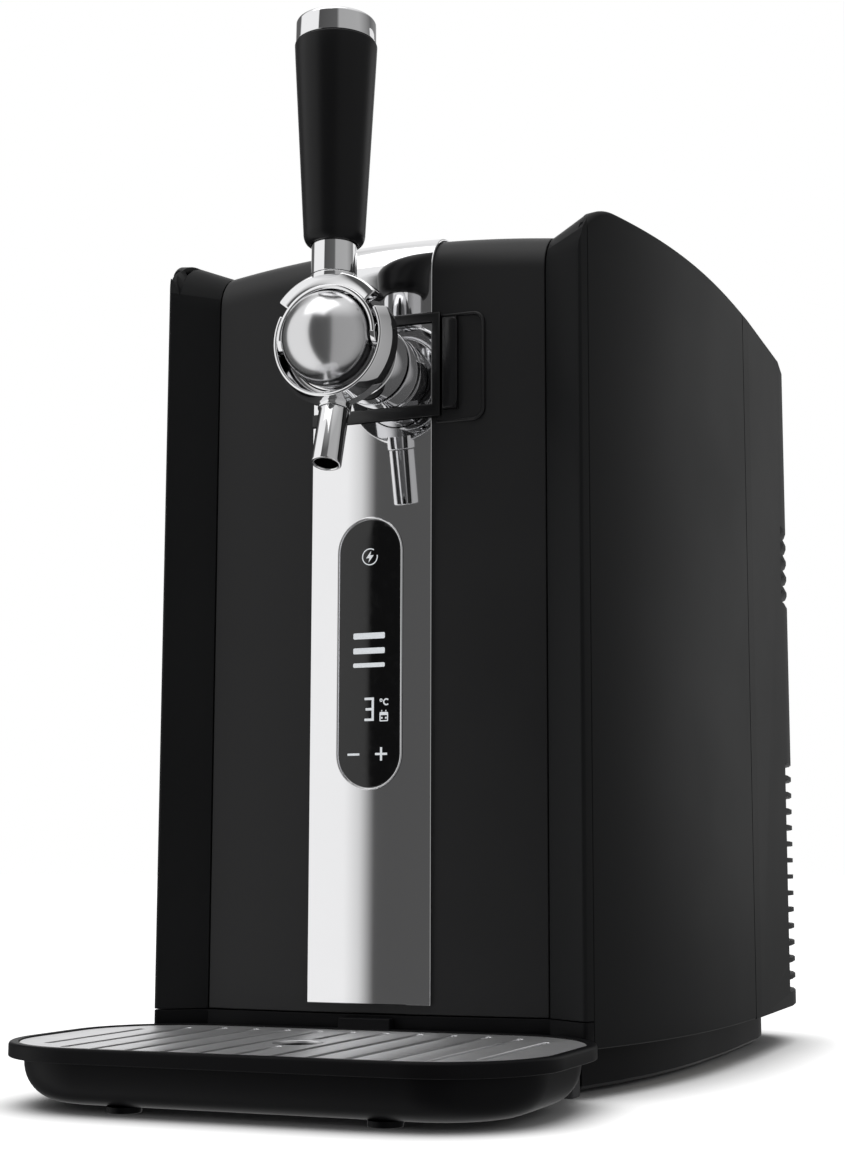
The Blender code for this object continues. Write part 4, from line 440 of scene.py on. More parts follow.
def rounded_loop(low, high, radii, steps=8):
    """Rectangle with its own radius at each corner, anticlockwise from low right."""
    points = []
    corners = (high[0], low[1], -90), (high[0], high[1], 0), (low[0], high[1], 90)
    for (x, z, start), radius in zip((*corners, (low[0], low[1], 180)), radii):
        for angle in np.radians(np.linspace(start, start + 90, steps)):
            across = x - radius if x == high[0] else x + radius
            up = z + radius if z == low[1] else z - radius
            points.append((across + radius * math.cos(angle), up + radius * math.sin(angle)))
    return np.array(points)


def stadium(half_x, low_z, high_z, steps=24):
    """Upright outline with half-round ends."""
    angle = np.linspace(0, math.pi, steps + 1)
    across, up = half_x * np.cos(angle), half_x * np.sin(angle)
    top = np.stack([across, high_z - half_x + up], 1)
    return np.concatenate([top, np.stack([-across, low_z + half_x - up], 1)])


def ring_of(radius, x, z, steps=20, start=0.0, sweep=2 * math.pi):
    angle = start + np.linspace(0, sweep, steps, endpoint=abs(sweep) < 2 * math.pi)
    return np.stack([x + radius * np.cos(angle), z + radius * np.sin(angle)], 1)


def stacked(name, outline, levels, material, body, closed=False, **rest):
    """Plan outlines at (inset, height) levels, joined from one level to the next."""
    plans = [(outline(inset), z) for inset, z in levels]
    grid = [np.column_stack([plan, np.full(len(plan), z)]) for plan, z in plans]
    return surface(name, grid, material, body, (closed, True), not closed, **rest)


def plate(name, loops, near, far, edge, material, body, lay=None, **rest):
    """A flat plate with holes: closed (x, z) loops filled, given depth and a rounded edge.

    The edge is a quarter round of the given radius at the near side of every loop. Lay moves the
    points afterwards, for instance to the level."""
    form = bmesh.new()
    rings = [(edge, near)]
    if edge:
        falling, rising = quarter(4)
        rings += zip(edge * falling[1:], near + edge * rising[1:])
    rings.append((0, far))
    caps = ([], [])
    for loop, outer in loops:
        loop = np.asarray(loop, float)
        ahead, behind = np.roll(loop, -1, 0) - loop, loop - np.roll(loop, 1, 0)
        ahead /= np.linalg.norm(ahead, axis=1)[:, None]
        behind /= np.linalg.norm(behind, axis=1)[:, None]
        tangent = ahead + behind
        tangent /= np.linalg.norm(tangent, axis=1)[:, None]
        x, z = loop.T
        area = np.sum(x * np.roll(z, -1) - z * np.roll(x, -1))
        inward = np.stack([-tangent[:, 1], tangent[:, 0]], 1) * np.sign(area) * (1 if outer else -1)
        rows = []
        for inset, depth in rings:
            rows.append([form.verts.new((x, depth, z)) for x, z in loop + inward * inset])
        after = np.roll(np.arange(len(loop)), -1)
        for upper, lower in zip(rows, rows[1:]):
            for i, j in enumerate(after):
                form.faces.new((upper[i], upper[j], lower[j], lower[i]))
        for cap, row in zip(caps, (rows[0], rows[-1])):
            cap.extend(form.edges.get((row[i], row[j])) for i, j in enumerate(after))
    for cap in caps:
        bmesh.ops.triangle_fill(form, edges=cap, use_beauty=True, use_dissolve=False)
    form.verts.ensure_lookup_table()
    points = np.array([v.co for v in form.verts])
    faces = [[v.index for v in face.verts] for face in form.faces]
    form.free()
    return mesh_piece(name, lay(points) if lay else points, faces, material, body, **rest)


def block(name, low, high, material, body, width=EDGE_SOFT, **rest):
    sides = list(zip(low, high))
    corners = [(x, y, z) for z in sides[2] for y in sides[1] for x in sides[0]]
    faces = (0, 2, 3, 1), (4, 5, 7, 6), (0, 1, 5, 4), (2, 6, 7, 3), (0, 4, 6, 2), (1, 3, 7, 5)
    return round_edges(mesh_piece(name, corners, faces, material, body, **rest), width)


def carved(obj, loop, near, far):
    """Cuts a closed (x, z) loop out of a piece between two depths, for good."""
    count = len(loop)
    corners = np.array([(x, y, z) for y in (near, far) for x, z in loop])
    ahead = [(i + 1) % count for i in range(count)]
    faces = [(i, j, count + j, count + i) for i, j in enumerate(ahead)]
    faces += [tuple(range(count))[::-1], tuple(range(count, 2 * count))]
    mesh = bpy.data.meshes.new("cutter")
    mesh.from_pydata((corners + (0, SHIFT_Y, 0)).tolist(), [], faces)
    cutter = put("cutter", mesh)
    modifier = obj.modifiers.new("carve", "BOOLEAN")
    modifier.object = cutter
    graph = bpy.context.evaluated_depsgraph_get()
    result = bpy.data.meshes.new_from_object(obj.evaluated_get(graph))
    obj.modifiers.remove(modifier)
    obj.data = result
    bpy.data.objects.remove(cutter, do_unlink=True)
    return obj


# Finishes


def feed(tree, node, inputs):
    """Sets a node's inputs: another node's output is linked, any other value goes on the socket."""
    for key, value in inputs.items():
        if isinstance(value, bpy.types.NodeSocket):
            tree.links.new(value, node.inputs[key])
        else:
            node.inputs[key].default_value = value
    return node


def add_node(tree, kind, inputs=None, **settings):
    node = tree.nodes.new(kind)
    for key, value in settings.items():
        setattr(node, key, value)
    return feed(tree, node, inputs or {})


def new_finish(name):
    """A material, its node tree and its Principled shader."""
    material = bpy.data.materials.new(name)
    material.use_nodes = True
    return material, material.node_tree, material.node_tree.nodes["Principled BSDF"]


def object_place(tree):
    return add_node(tree, "ShaderNodeTexCoord").outputs["Object"]


def mapped(tree, **inputs):
    """Object coordinates, stretched or turned."""
    mapping = add_node(tree, "ShaderNodeMapping", {"Vector": object_place(tree), **inputs})
    return mapping.outputs["Vector"]


def object_noise(tree, scale, detail=3.0, stretch=(1, 1, 1), roughness=0.5):
    """Noise on Object coordinates, in waves per metre."""
    inputs = {"Scale": scale, "Detail": detail, "Roughness": roughness}
    noise = add_node(tree, "ShaderNodeTexNoise", {"Vector": mapped(tree, Scale=stretch), **inputs})
    return noise.outputs["Fac"]


def spread(tree, source, low, high, near=0.3, far=0.7):
    """A value carried from the range near to far into low to high."""
    inputs = {"Value": source, "From Min": near, "From Max": far, "To Min": low, "To Max": high}
    return add_node(tree, "ShaderNodeMapRange", inputs).outputs["Result"]


def blended(tree, factor, first, second):
    """A colour mixed from two colours or sockets, by a factor."""
    inputs = {"Factor": factor, "A": first, "B": second}
    return add_node(tree, "ShaderNodeMix", inputs, data_type="RGBA").outputs["Result"]


def between(tree, source, first, second, *bounds):
    """A colour between two, by a value spread from its bounds to nothing and one."""
    return blended(tree, spread(tree, source, 0, 1, *bounds), (*first, 1), (*second, 1))


def bumped(tree, height, distance, strength=1.0):
    inputs = {"Height": height, "Distance": distance, "Strength": strength}
    return add_node(tree, "ShaderNodeBump", inputs).outputs["Normal"]


def moulded(name, colour, lighter, roughness, grain=2600, depth=0.00002, specular=0.5):
    """Moulded plastic: spark-eroded grain, faint clouding, and gloss that varies a little."""
    material, tree, shader = new_finish(name)
    clouds = object_noise(tree, 9, 4)
    inputs = {
        "Specular IOR Level": specular,
        "Base Color": between(tree, clouds, colour, lighter),
        "Roughness": spread(tree, clouds, roughness - 0.03, roughness + 0.04),
        "Normal": bumped(tree, object_noise(tree, grain, 2), depth, 0.35),
    }
    feed(tree, shader, inputs)
    return material


def metal(name, colour, duller, roughness, vary, stretch=(1, 1, 1), scale=60, depth=0.0, grain=900):
    """Plated or brushed metal: slight tone changes, smears in the gloss and optional brush lines."""
    material, tree, shader = new_finish(name)
    smears = object_noise(tree, scale, 5, stretch, 0.6)
    tone = between(tree, smears, colour, duller)
    gloss = spread(tree, smears, roughness, roughness + vary)
    feed(tree, shader, {"Metallic": 1.0, "Base Color": tone, "Roughness": gloss})
    if depth:
        lines = object_noise(tree, grain, 3, stretch)
        feed(tree, shader, {"Normal": bumped(tree, lines, depth, 0.3)})
    return material


def display_cover():
    """Clear-coated black display cover with a trace of fine dust in its gloss."""
    material, tree, shader = new_finish("display_cover")
    dust = object_noise(tree, 240, 6)
    tone = between(tree, dust, (0.0035, 0.0035, 0.004), (0.010, 0.010, 0.011), 0.55, 0.8)
    feed(tree, shader, {"Base Color": tone, "Roughness": spread(tree, dust, 0.05, 0.12)})
    return material


def printed(name, colour, glow):
    """Ink or lit segment under the display cover, slightly uneven."""
    material, tree, shader = new_finish(name)
    ink = object_noise(tree, 900, 2)
    tone = between(tree, ink, colour, [c * 0.9 for c in colour])
    feed(tree, shader, {"Base Color": tone, "Emission Color": tone, "Emission Strength": glow})
    feed(tree, shader, {"Roughness": spread(tree, ink, 0.3, 0.4)})
    return material


def circuit_board():
    """Green board with paler tracks in a rectangular pattern."""
    material, tree, shader = new_finish("circuit_board")
    inputs = {
        "Vector": mapped(tree, Rotation=(math.pi / 2, 0, 0)),
        "Scale": 90,
        "Mortar Size": 0.03,
        "Color1": (0.02, 0.12, 0.045, 1),
        "Color2": (0.03, 0.16, 0.06, 1),
        "Mortar": (0.10, 0.30, 0.14, 1),
    }
    tracks = add_node(tree, "ShaderNodeTexBrick", inputs).outputs
    gloss = spread(tree, tracks["Fac"], 0.35, 0.55, 0, 1)
    feed(tree, shader, {"Base Color": tracks["Color"], "Roughness": gloss})
    return material


def foam():
    """Cut foam: cream, matte, with open pores."""
    material, tree, shader = new_finish("insulating_foam")
    inputs = {"Vector": object_place(tree), "Scale": 700}
    pores = add_node(tree, "ShaderNodeTexVoronoi", inputs).outputs["Distance"]
    tone = between(tree, pores, (0.52, 0.47, 0.36), (0.74, 0.70, 0.58), 0.1, 0.6)
    normal = bumped(tree, pores, 0.0002)
    feed(tree, shader, {"Base Color": tone, "Roughness": 0.95, "Normal": normal})
    return material


SHELL_BLACK = moulded(
    "satin_black_shell", (0.014, 0.0145, 0.0152), (0.017, 0.0175, 0.0183), 0.48, specular=0.12
)
PANEL_BLACK = moulded(
    "satin_black_panel", (0.025, 0.025, 0.026), (0.029, 0.029, 0.030), 0.42, specular=0.26
)
BASE_BLACK = moulded(
    "matte_black_base", (0.007, 0.007, 0.008), (0.010, 0.010, 0.011), 0.44, specular=0.08
)
TRIM_BLACK = moulded(
    "smooth_black_trim", (0.008, 0.008, 0.009), (0.011, 0.011, 0.012), 0.30, 1600, 0.00001
)
GLOSS_BLACK = moulded(
    "gloss_black_trim", (0.016, 0.016, 0.017), (0.020, 0.020, 0.021), 0.16, 1600, 0.000004
)
GRIP_BLACK = moulded(
    "satin_black_grip", (0.010, 0.010, 0.011), (0.014, 0.014, 0.015), 0.34, specular=0.2
)
FOOT_GREY = moulded("grey_foot_rubber", (0.075, 0.075, 0.078), (0.10, 0.10, 0.105), 0.75)
GASKET_BLACK = moulded("black_gasket_rubber", (0.010,) * 3, (0.016,) * 3, 0.7)
LINER_GREY = moulded("grey_chamber_liner", (0.27, 0.28, 0.29), (0.31, 0.32, 0.33), 0.42)
CERAMIC = moulded("white_ceramic", (0.78, 0.78, 0.75), (0.84, 0.84, 0.82), 0.5, 900)
HOSE = moulded("milky_hose", (0.60, 0.62, 0.62), (0.68, 0.70, 0.70), 0.35)
CHROME = metal(
    "polished_chrome", (0.86, 0.86, 0.87), (0.84, 0.84, 0.85), 0.03, 0.012, scale=14
)
SATIN_CHROME = metal(
    "satin_chrome", (0.72, 0.72, 0.73), (0.69, 0.69, 0.70), 0.19, 0.02, scale=20
)
BRUSHED_STEEL = {"stretch": (0.04, 1, 1), "scale": 300, "depth": 0.00001, "grain": 2400}
SATIN_STEEL = metal(
    "satin_steel", (0.66, 0.66, 0.67), (0.60, 0.60, 0.61), 0.24, 0.08, **BRUSHED_STEEL
)
BRUSHED_GRATE = {"stretch": (0.05, 1, 1), "scale": 260, "depth": 0.000008, "grain": 2200}
GRATE_STEEL = metal(
    "grate_steel", (0.92, 0.92, 0.93), (0.87, 0.87, 0.88), 0.42, 0.06, **BRUSHED_GRATE
)
CAST = {"stretch": (1, 1, 0.06), "scale": 400, "depth": 0.00001}
ALUMINIUM = metal(
    "cast_aluminium", (0.70, 0.71, 0.72), (0.62, 0.63, 0.64), 0.36, 0.10, **CAST
)
DISPLAY = display_cover()
BOARD = circuit_board()
FOAM = foam()
WHITE_INK = printed("white_segments", (0.80, 0.83, 0.86), 0.55)


# Outline of the body, as arrays


def side_x(y):
    """Half width at a depth: swells to the widest place by a power law, closes as a superellipse."""
    y = np.asarray(y, float)
    ahead = (np.minimum(y, WIDEST_Y) - RIDGE_Y) / (WIDEST_Y - RIDGE_Y)
    behind = np.clip((y - WIDEST_Y) / (BODY_BACK - WIDEST_Y), 0, 1)
    front = WIDEST_X - (WIDEST_X - RIDGE_X) * (1 - ahead) ** SIDE_SWELL_POWER
    closing = (1 - behind**REAR_ROUND_POWER) ** (1 / REAR_ROUND_POWER)
    rear = (WIDEST_X - REAR_TAPER * behind**2) * closing
    return np.where(y <= WIDEST_Y, front, rear)


def shell_top(y):
    """Height of the side shells: level, then a quarter arc down to the ridge."""
    ahead = np.minimum(y - RIDGE_Y - RIDGE_ARC_RADIUS, 0)
    return SHELL_TOP - RIDGE_ARC_RADIUS + np.sqrt(RIDGE_ARC_RADIUS**2 - ahead**2)


def swing_x(y, clearance=0.0):
    """Half width that the free edge of the door reaches: a circle about the hinge."""
    return HINGE_X + np.sqrt((SWING_RADIUS + clearance) ** 2 - (y - HINGE_Y) ** 2)


def valley_share(y):
    """How much of the hollow top is left behind the door: a smooth step from one to nothing."""
    along = np.clip((y - DOOR_BACK) / VALLEY_LENGTH, 0, 1)
    return 1 - along**2 * (3 - 2 * along)


def skin_section(x):
    """Front depth, top height and top rounding at a width: a shallow parabola, then the cheek."""
    away = np.minimum(np.abs(x) / PANEL_X, 1)
    outward = np.maximum(np.abs(x) - PANEL_X, 0) / (RIDGE_X - PANEL_X)
    front = -PANEL_BULGE * (1 - away**2) + RIDGE_Y * outward
    top = PANEL_EDGE_TOP + PANEL_CROWN * (1 - away**2) + (SHELL_TOP - PANEL_EDGE_TOP) * outward
    radius = PANEL_RADIUS + (RIDGE_ARC_RADIUS - PANEL_RADIUS) * outward
    return front, top, radius


def skin_rows(front, top, radius, bottom, back):
    """Depths and heights up the front, round the top edge by a quarter arc, back along the top.

    Inputs are arrays across the width: each result has one row per stop, one column per width."""
    front, top, radius = (np.atleast_1d(v) for v in (front, top, radius))
    falling, rising = (v[:, None] for v in quarter(25))
    arc_y = front + radius * rising
    arc_z = top - radius * falling
    share = np.linspace(0, 1, UPRIGHT_ROWS, endpoint=False)[:, None]
    wall_z = bottom + (arc_z[0] - bottom) * share
    share = np.linspace(0, 1, TOP_ROWS + 1)[1:, None]
    roof_y = arc_y[-1] + (back - arc_y[-1]) * share
    y = np.concatenate([front + 0 * wall_z, arc_y, roof_y])
    z = np.concatenate([wall_z, arc_z, top + 0 * roof_y])
    return y, z


def skin_sheet(widths, proud, top_proud, lift, bottom, back, inner=None):
    """A closed sheet on the panel's skin: outer points, then inner in reverse, for every stop."""
    front, top, radius = skin_section(widths)
    outer_y, outer_z = skin_rows(front - proud, top + top_proud, radius + top_proud, bottom, back)
    if inner is None:
        inner = front - lift, top + lift, radius + lift
    inner_y, inner_z = skin_rows(*(v + 0 * widths for v in inner), bottom, back)
    x = np.broadcast_to(widths, outer_y.shape)
    outer = np.stack([x, outer_y, outer_z], -1)
    return np.concatenate([outer, np.stack([x, inner_y, inner_z], -1)[:, ::-1]], 1)


def edge_widths(half, count, edge):
    """Even stops across a width, with one more at each edge that holds its rounding."""
    middle = np.linspace(-half + edge, half - edge, count)
    return np.concatenate([[-half], middle, [half]])


# Cabinet


def side_shell(side, front):
    """Side wall from the door's parting edge to the seam, with its top flange. Each section is a
    closed line in width and height: its outer edge has a quarter round above and a small one below."""
    fine = np.linspace(front, SIDE_FINE_BACK, 30)
    y = np.concatenate([fine, np.linspace(SIDE_FINE_BACK, SEAM_Y - SEAM_GAP, 26)[1:]])
    outer, top = side_x(y)[:, None], shell_top(y)[:, None]
    inner = swing_x(np.minimum(y, FRAME_FRONT), SWING_CLEARANCE)[:, None]
    flange = top - (RIDGE_X - inner) * CHEEK_TOP_SLOPE * valley_share(y)[:, None]
    falling, rising = quarter(10)
    upper_x = outer - TOP_EDGE_RADIUS * falling
    upper_z = top - TOP_EDGE_RADIUS * rising
    wall_z = np.linspace(0.97, 0.03, 12) * (top - SHELL_BOTTOM) + SHELL_BOTTOM
    lower_x = outer - BOTTOM_EDGE_RADIUS * rising
    lower_z = SHELL_BOTTOM + BOTTOM_EDGE_RADIUS * falling + 0 * top
    inside, low, under = outer - SHELL_WALL, SHELL_BOTTOM + 0 * top, flange - SHELL_WALL
    x = np.concatenate([inner, upper_x, outer + 0 * wall_z, lower_x, inside, inside, inner], 1)
    z = np.concatenate([flange, upper_z, wall_z, lower_z, low, under, under], 1)
    return np.stack([side * x, y[:, None] + 0 * x, z], -1)


def make_cabinet():
    shell = {"material": SHELL_BLACK, "body": "cabinet", "slot": "black_shell"}
    for word, side, front in (("right", 1, FRONT_RIGHT_Y), ("left", -1, FRONT_LEFT_Y)):
        grid = side_shell(side, front)
        wall = surface(f"side_wall_{word}", grid, stands_for=[f"side_shell_{word}"], **shell)
        round_edges(wall, EDGE_FINE)
    widths = np.linspace(-1, 1, 41) * (swing_x(FRAME_FRONT, SWING_CLEARANCE) - SEAM_GAP)
    y = np.linspace(LID_FRONT + LID_LIP, SEAM_Y - SEAM_GAP, 40)
    y = np.concatenate([[LID_FRONT], y])[:, None]
    upper = SHELL_TOP - (SHELL_TOP - skin_section(widths)[1]) * valley_share(y)
    x, y = np.broadcast_to(widths, upper.shape), y + 0 * upper
    under = np.stack([x, y, upper - SHELL_WALL], -1)[:, ::-1]
    grid = np.concatenate([np.stack([x, y, upper], -1), under], 1)
    round_edges(surface("top_lid", grid, stands_for=["top_cover"], **shell), EDGE_FINE)


# Front panel and bright strip


def cup_loop(grown):
    """Outline of the finger pocket, grown by a wall: rounded on the outer side, square inside."""
    low = CUP_LEFT + CUP_WALL - grown, CUP_LOW - grown
    wide, tight = CUP_CORNER + grown, EDGE_FINE + grown * 0.2
    return rounded_loop(low, (CUP_RIGHT + grown, CUP_HIGH + grown), (wide, wide, tight, tight))


def make_panel():
    widths = edge_widths(PANEL_X - PANEL_SEAM, 45, EDGE_SOFT)
    top = PANEL_EDGE_TOP - PANEL_TOP_WALL
    inner = (PANEL_BACK, top, PANEL_RADIUS - PANEL_TOP_WALL)
    grid = skin_sheet(widths, 0, 0, 0, PANEL_BOTTOM, DOOR_BACK, inner)
    rest = {"stands_for": ["door_front_panel"], "slot": "black_panel"}
    panel = surface("front_panel", grid, PANEL_BLACK, "door", **rest)
    carved(panel, cup_loop(CUP_WALL + FIT), CUP_CUT_FRONT, DOOR_BACK / 2)
    round_edges(panel, EDGE_PLAIN)


def make_door_corner():
    """The top of the door's rounded edge over the hinge: upright lines on a circle round the hinge,
    x = HINGE_X - sqrt(r^2 - (y - HINGE_Y)^2), whose top follows the cheek and then the ridge."""
    y = np.linspace(CORNER_FRONT, CORNER_BACK, 26)[:, None]
    turn = HINGE_X - np.sqrt(CORNER_RADIUS**2 - (y - HINGE_Y) ** 2)
    outer = np.where(y < HINGE_Y, np.maximum(turn, -side_x(y)), turn)
    front, cheek, radius = skin_section(CORNER_INNER)
    inner_top = cheek - radius + np.sqrt(radius**2 - np.minimum(y - front - radius, 0) ** 2)
    falling, rising = quarter(8)
    inner = np.full_like(y, CORNER_INNER)
    soft = np.minimum(TOP_EDGE_RADIUS, CORNER_SOFT_SHARE * (inner - outer))
    x = np.concatenate([inner, inner, outer, outer + soft * rising], 1)
    low = CORNER_LOW + 0 * y
    z = np.concatenate([inner_top, low, low, shell_top(y) - soft * falling], 1)
    grid = np.stack([x, y + 0 * x, z], -1)
    surface("door_corner", grid, SHELL_BLACK, "door", slot="black_shell")


def flat_on_panel(low, high, proud, back):
    """A bowed plate between two heights: its plan follows the panel, with rounded side edges."""
    x = np.linspace(-STRIP_X + STRIP_EDGE, STRIP_X - STRIP_EDGE, 41)
    front = skin_section(x)[0]
    falling, rising = quarter(6)
    turn_x = STRIP_X - STRIP_EDGE * falling
    turn_y = skin_section(STRIP_X)[0] - proud + STRIP_EDGE * rising
    near = np.column_stack([x, front - proud])
    right = np.column_stack([turn_x, turn_y])
    far = np.column_stack([x[::-1], front[::-1] - back])
    left = np.column_stack([-turn_x[::-1], turn_y[::-1]])
    section = np.concatenate([near, right, far, left])
    half = STRIP_EDGE / 2
    z = np.array([low, low + half, *np.linspace(low, high, 14)[1:-1], high - half, high])
    sunk = np.zeros(len(z))
    sunk[[0, -1]] = half
    y = np.minimum(section[:, 1] + sunk[:, None], section[:, 1].max())
    return np.stack([np.broadcast_to(section[:, 0], y.shape), y, z[:, None] + 0 * y], -1)


def make_strip():
    chrome = {"material": CHROME, "body": "door", "slot": "chrome"}
    grid = flat_on_panel(STRIP_BOTTOM, BAR_LOWER_LOW - FIT, STRIP_PROUD, FIT)
    surface("bright_strip_lower", grid, stands_for=["chrome_strip_lower"], **chrome)
    grid = flat_on_panel(BAR_LOWER_HIGH + FIT, BAR_UPPER_LOW - FIT, TAP_PLATE_PROUD, FIT)
    surface("bright_tap_plate", grid, stands_for=["tap_plate"], **chrome)
    widths = edge_widths(STRIP_X, 41, STRIP_EDGE)
    low = BAR_UPPER_HIGH + FIT
    grid = skin_sheet(widths, STRIP_PROUD, STRIP_TOP_PROUD, FIT, low, DOOR_BACK)
    strip = surface("bright_strip_upper", grid, stands_for=["chrome_strip_upper"], **chrome)
    round_edges(strip, STRIP_EDGE)


# Display


def drawn(name, *loops):
    """Flat white shape just proud of the display cover: an outline and the hole in it, if any."""
    loops = [(loop, i == 0) for i, loop in enumerate(loops)]
    plate(name, loops, PILL_FRONT - INK_LIFT, PILL_FRONT + INK_LIFT, 0, WHITE_INK, "door")


def stroke(points, width):
    """Outline of a line of constant width through (x, z) points, mitred at its corners."""
    points = np.asarray(points, float)
    step = np.diff(points, axis=0)
    step /= np.linalg.norm(step, axis=1)[:, None]
    across = np.stack([-step[:, 1], step[:, 0]], 1)
    before, after = np.concatenate([across[:1], across]), np.concatenate([across, across[-1:]])
    mitre = before + after
    mitre /= (np.sum(mitre * before, 1) / (width / 2))[:, None]
    return np.concatenate([points + mitre, (points - mitre)[::-1]])


def make_display():
    pill = stadium(PILL_X, PILL_LOW, PILL_HIGH)
    rest = {"stands_for": ["display_glass"], "slot": "display_black"}
    back = PILL_FRONT + GLASS_WALL
    plate("display_cover", [(pill, True)], PILL_FRONT, back, EDGE_PLAIN, DISPLAY, "door", **rest)
    pills = [stadium(PILL_X + e, PILL_LOW - e, PILL_HIGH + e) for e in (FIT + BEZEL_WIDTH, FIT)]
    loops = list(zip(pills, (True, False)))
    rest = {"stands_for": ["display_bezel"], "slot": "chrome"}
    near = PILL_FRONT - BEZEL_WALL
    plate("display_rim", loops, near, PILL_FRONT, EDGE_CRISP, CHROME, "door", **rest)


def make_marks():
    """White marks: power sign, level bars, a digit in degrees, calendar page, minus and plus."""
    drawn("power_mark", BOLT)
    around = ring_of(*POWER_RING, 40, math.radians(58), math.radians(312))
    drawn("power_ring", stroke(around, POWER_RING_WIDTH))
    left, right = LEVEL_BAR_X
    for count, (low, high) in enumerate(LEVEL_BARS):
        drawn(f"level_bar_{count + 1}", bar(left, low, right, high, EDGE_SOFT))
    (left, right), (low, high), half = DIGIT_X, DIGIT_Z, DIGIT_WIDTH / 2
    middle = (low + high) / 2
    outer = [(left, high), (right, high), (right, low), (left, low)]
    drawn("digit_sides", stroke(outer, DIGIT_WIDTH))
    drawn("digit_middle", bar(left + half, middle - half, right - half, middle + half))
    drawn("degree_ring", *(ring_of(radius, *DEGREE_PLACE) for radius in DEGREE_RADII))
    arc = ring_of(*CELSIUS_ARC, 14, math.radians(45), math.radians(270))
    drawn("celsius_arc", stroke(arc, CELSIUS_WIDTH))
    drawn("calendar_page", bar(*PAGE_OUTER), bar(*PAGE_INNER))
    for x in PAGE_COLUMNS:
        for word, (half, low, high) in (("ring", PAGE_RING), ("day", PAGE_DAY)):
            drawn(f"calendar_{word}", bar(x - half, low, x + half, high))
    low, high = SIGN_Z
    for name, (left, right) in (("minus_mark", MINUS_X), ("plus_across", PLUS_X)):
        drawn(name, bar(left, low, right, high))
    left, right = PLUS_UPRIGHT_X
    for word, low, high in PLUS_REACH:
        drawn(f"plus_{word}", bar(left, low, right, high))


# Black frame round the tap, finger pocket and pull


def make_tap_frame():
    black = {"slot": "black_trim"}
    low, high = BAR_LOWER_LOW, BAR_UPPER_HIGH
    bars = [(BAR_LEFT, low), (UPRIGHT_RIGHT, low), (UPRIGHT_RIGHT, high), (BAR_LEFT, high)]
    bars += [(BAR_LEFT, BAR_UPPER_LOW), (UPRIGHT_LEFT, BAR_UPPER_LOW)]
    bars += [(UPRIGHT_LEFT, BAR_LOWER_HIGH), (BAR_LEFT, BAR_LOWER_HIGH)]
    rest = {"stands_for": ["tap_frame"], **black}
    plate("tap_bars", [(bars, True)], BAR_FRONT, BAR_BACK, EDGE_PLAIN, TRIM_BLACK, "door", **rest)
    near = CUP_LEFT + FIT, BAR_FRONT + FIT, low + FIT
    far = UPRIGHT_RIGHT, 0, CUP_HIGH + CUP_WALL - FIT
    block("tap_upright", near, far, TRIM_BLACK, "door", EDGE_FINE, **black)
    edge = EDGE_SOFT
    rings = [(CUP_WALL, CUP_FLOOR + CUP_WALL), (CUP_WALL, CUP_RIM + edge)]
    falling, rising = quarter(5)
    rings += zip(CUP_WALL - edge * rising[1:], CUP_RIM + edge * falling[1:])
    rings += zip(edge * falling, CUP_RIM + edge * rising)
    rings += [(0, CUP_FLOOR - CUP_FILLET), (-CUP_FILLET, CUP_FLOOR)]
    grid = []
    for grown, depth in rings:
        x, z = cup_loop(grown).T
        grid.append(np.stack([x, np.full(len(x), depth), z], 1))
    surface("finger_pocket", grid, TRIM_BLACK, "door", **black)
    face = [(rounded_loop(*PULL_FACE, PULL_FACE_CORNERS), True)]
    depths = PULL_FACE_FRONT, PULL_FACE_BACK
    plate("pull_face", face, *depths, EDGE_CRISP, GLOSS_BLACK, "pull", **black)


# Tap


def swept_band(name, section, low, high, body, steps=120, end_radius=EDGE_SOFT, **rest):
    """A closed (radius, depth) section carried round the tap's axis from one angle to another.

    Over the last stretch s from each end, up to the end radius e, the section draws in towards its
    middle by e - sqrt(e^2 - (e - s)^2), a quarter round, so the ends are soft."""
    section = np.asarray(section, float)
    middle = (section.max(0) + section.min(0)) / 2
    half = (section.max(0) - section.min(0)) / 2
    end_run = end_radius * quarter(7)[1]
    run = end_run / middle[0]
    inner = np.linspace(low + run[-1], high - run[-1], steps)[1:-1]
    angle = np.concatenate([low + run, inner, high - run[::-1]])
    along = np.concatenate([end_run, np.full(len(inner), end_radius), end_run[::-1]])
    drawn_in = end_radius - np.sqrt(end_radius**2 - (end_radius - along) ** 2)
    scale = 1 - drawn_in[:, None] / half
    rings = middle + (section - middle)[None] * scale[:, None]
    r, y, a = rings[..., 0], rings[..., 1], angle[:, None]
    grid = np.stack([r * np.cos(a), y, TAP_Z + r * np.sin(a)], -1)
    return surface(name, grid, CHROME, body, **rest)


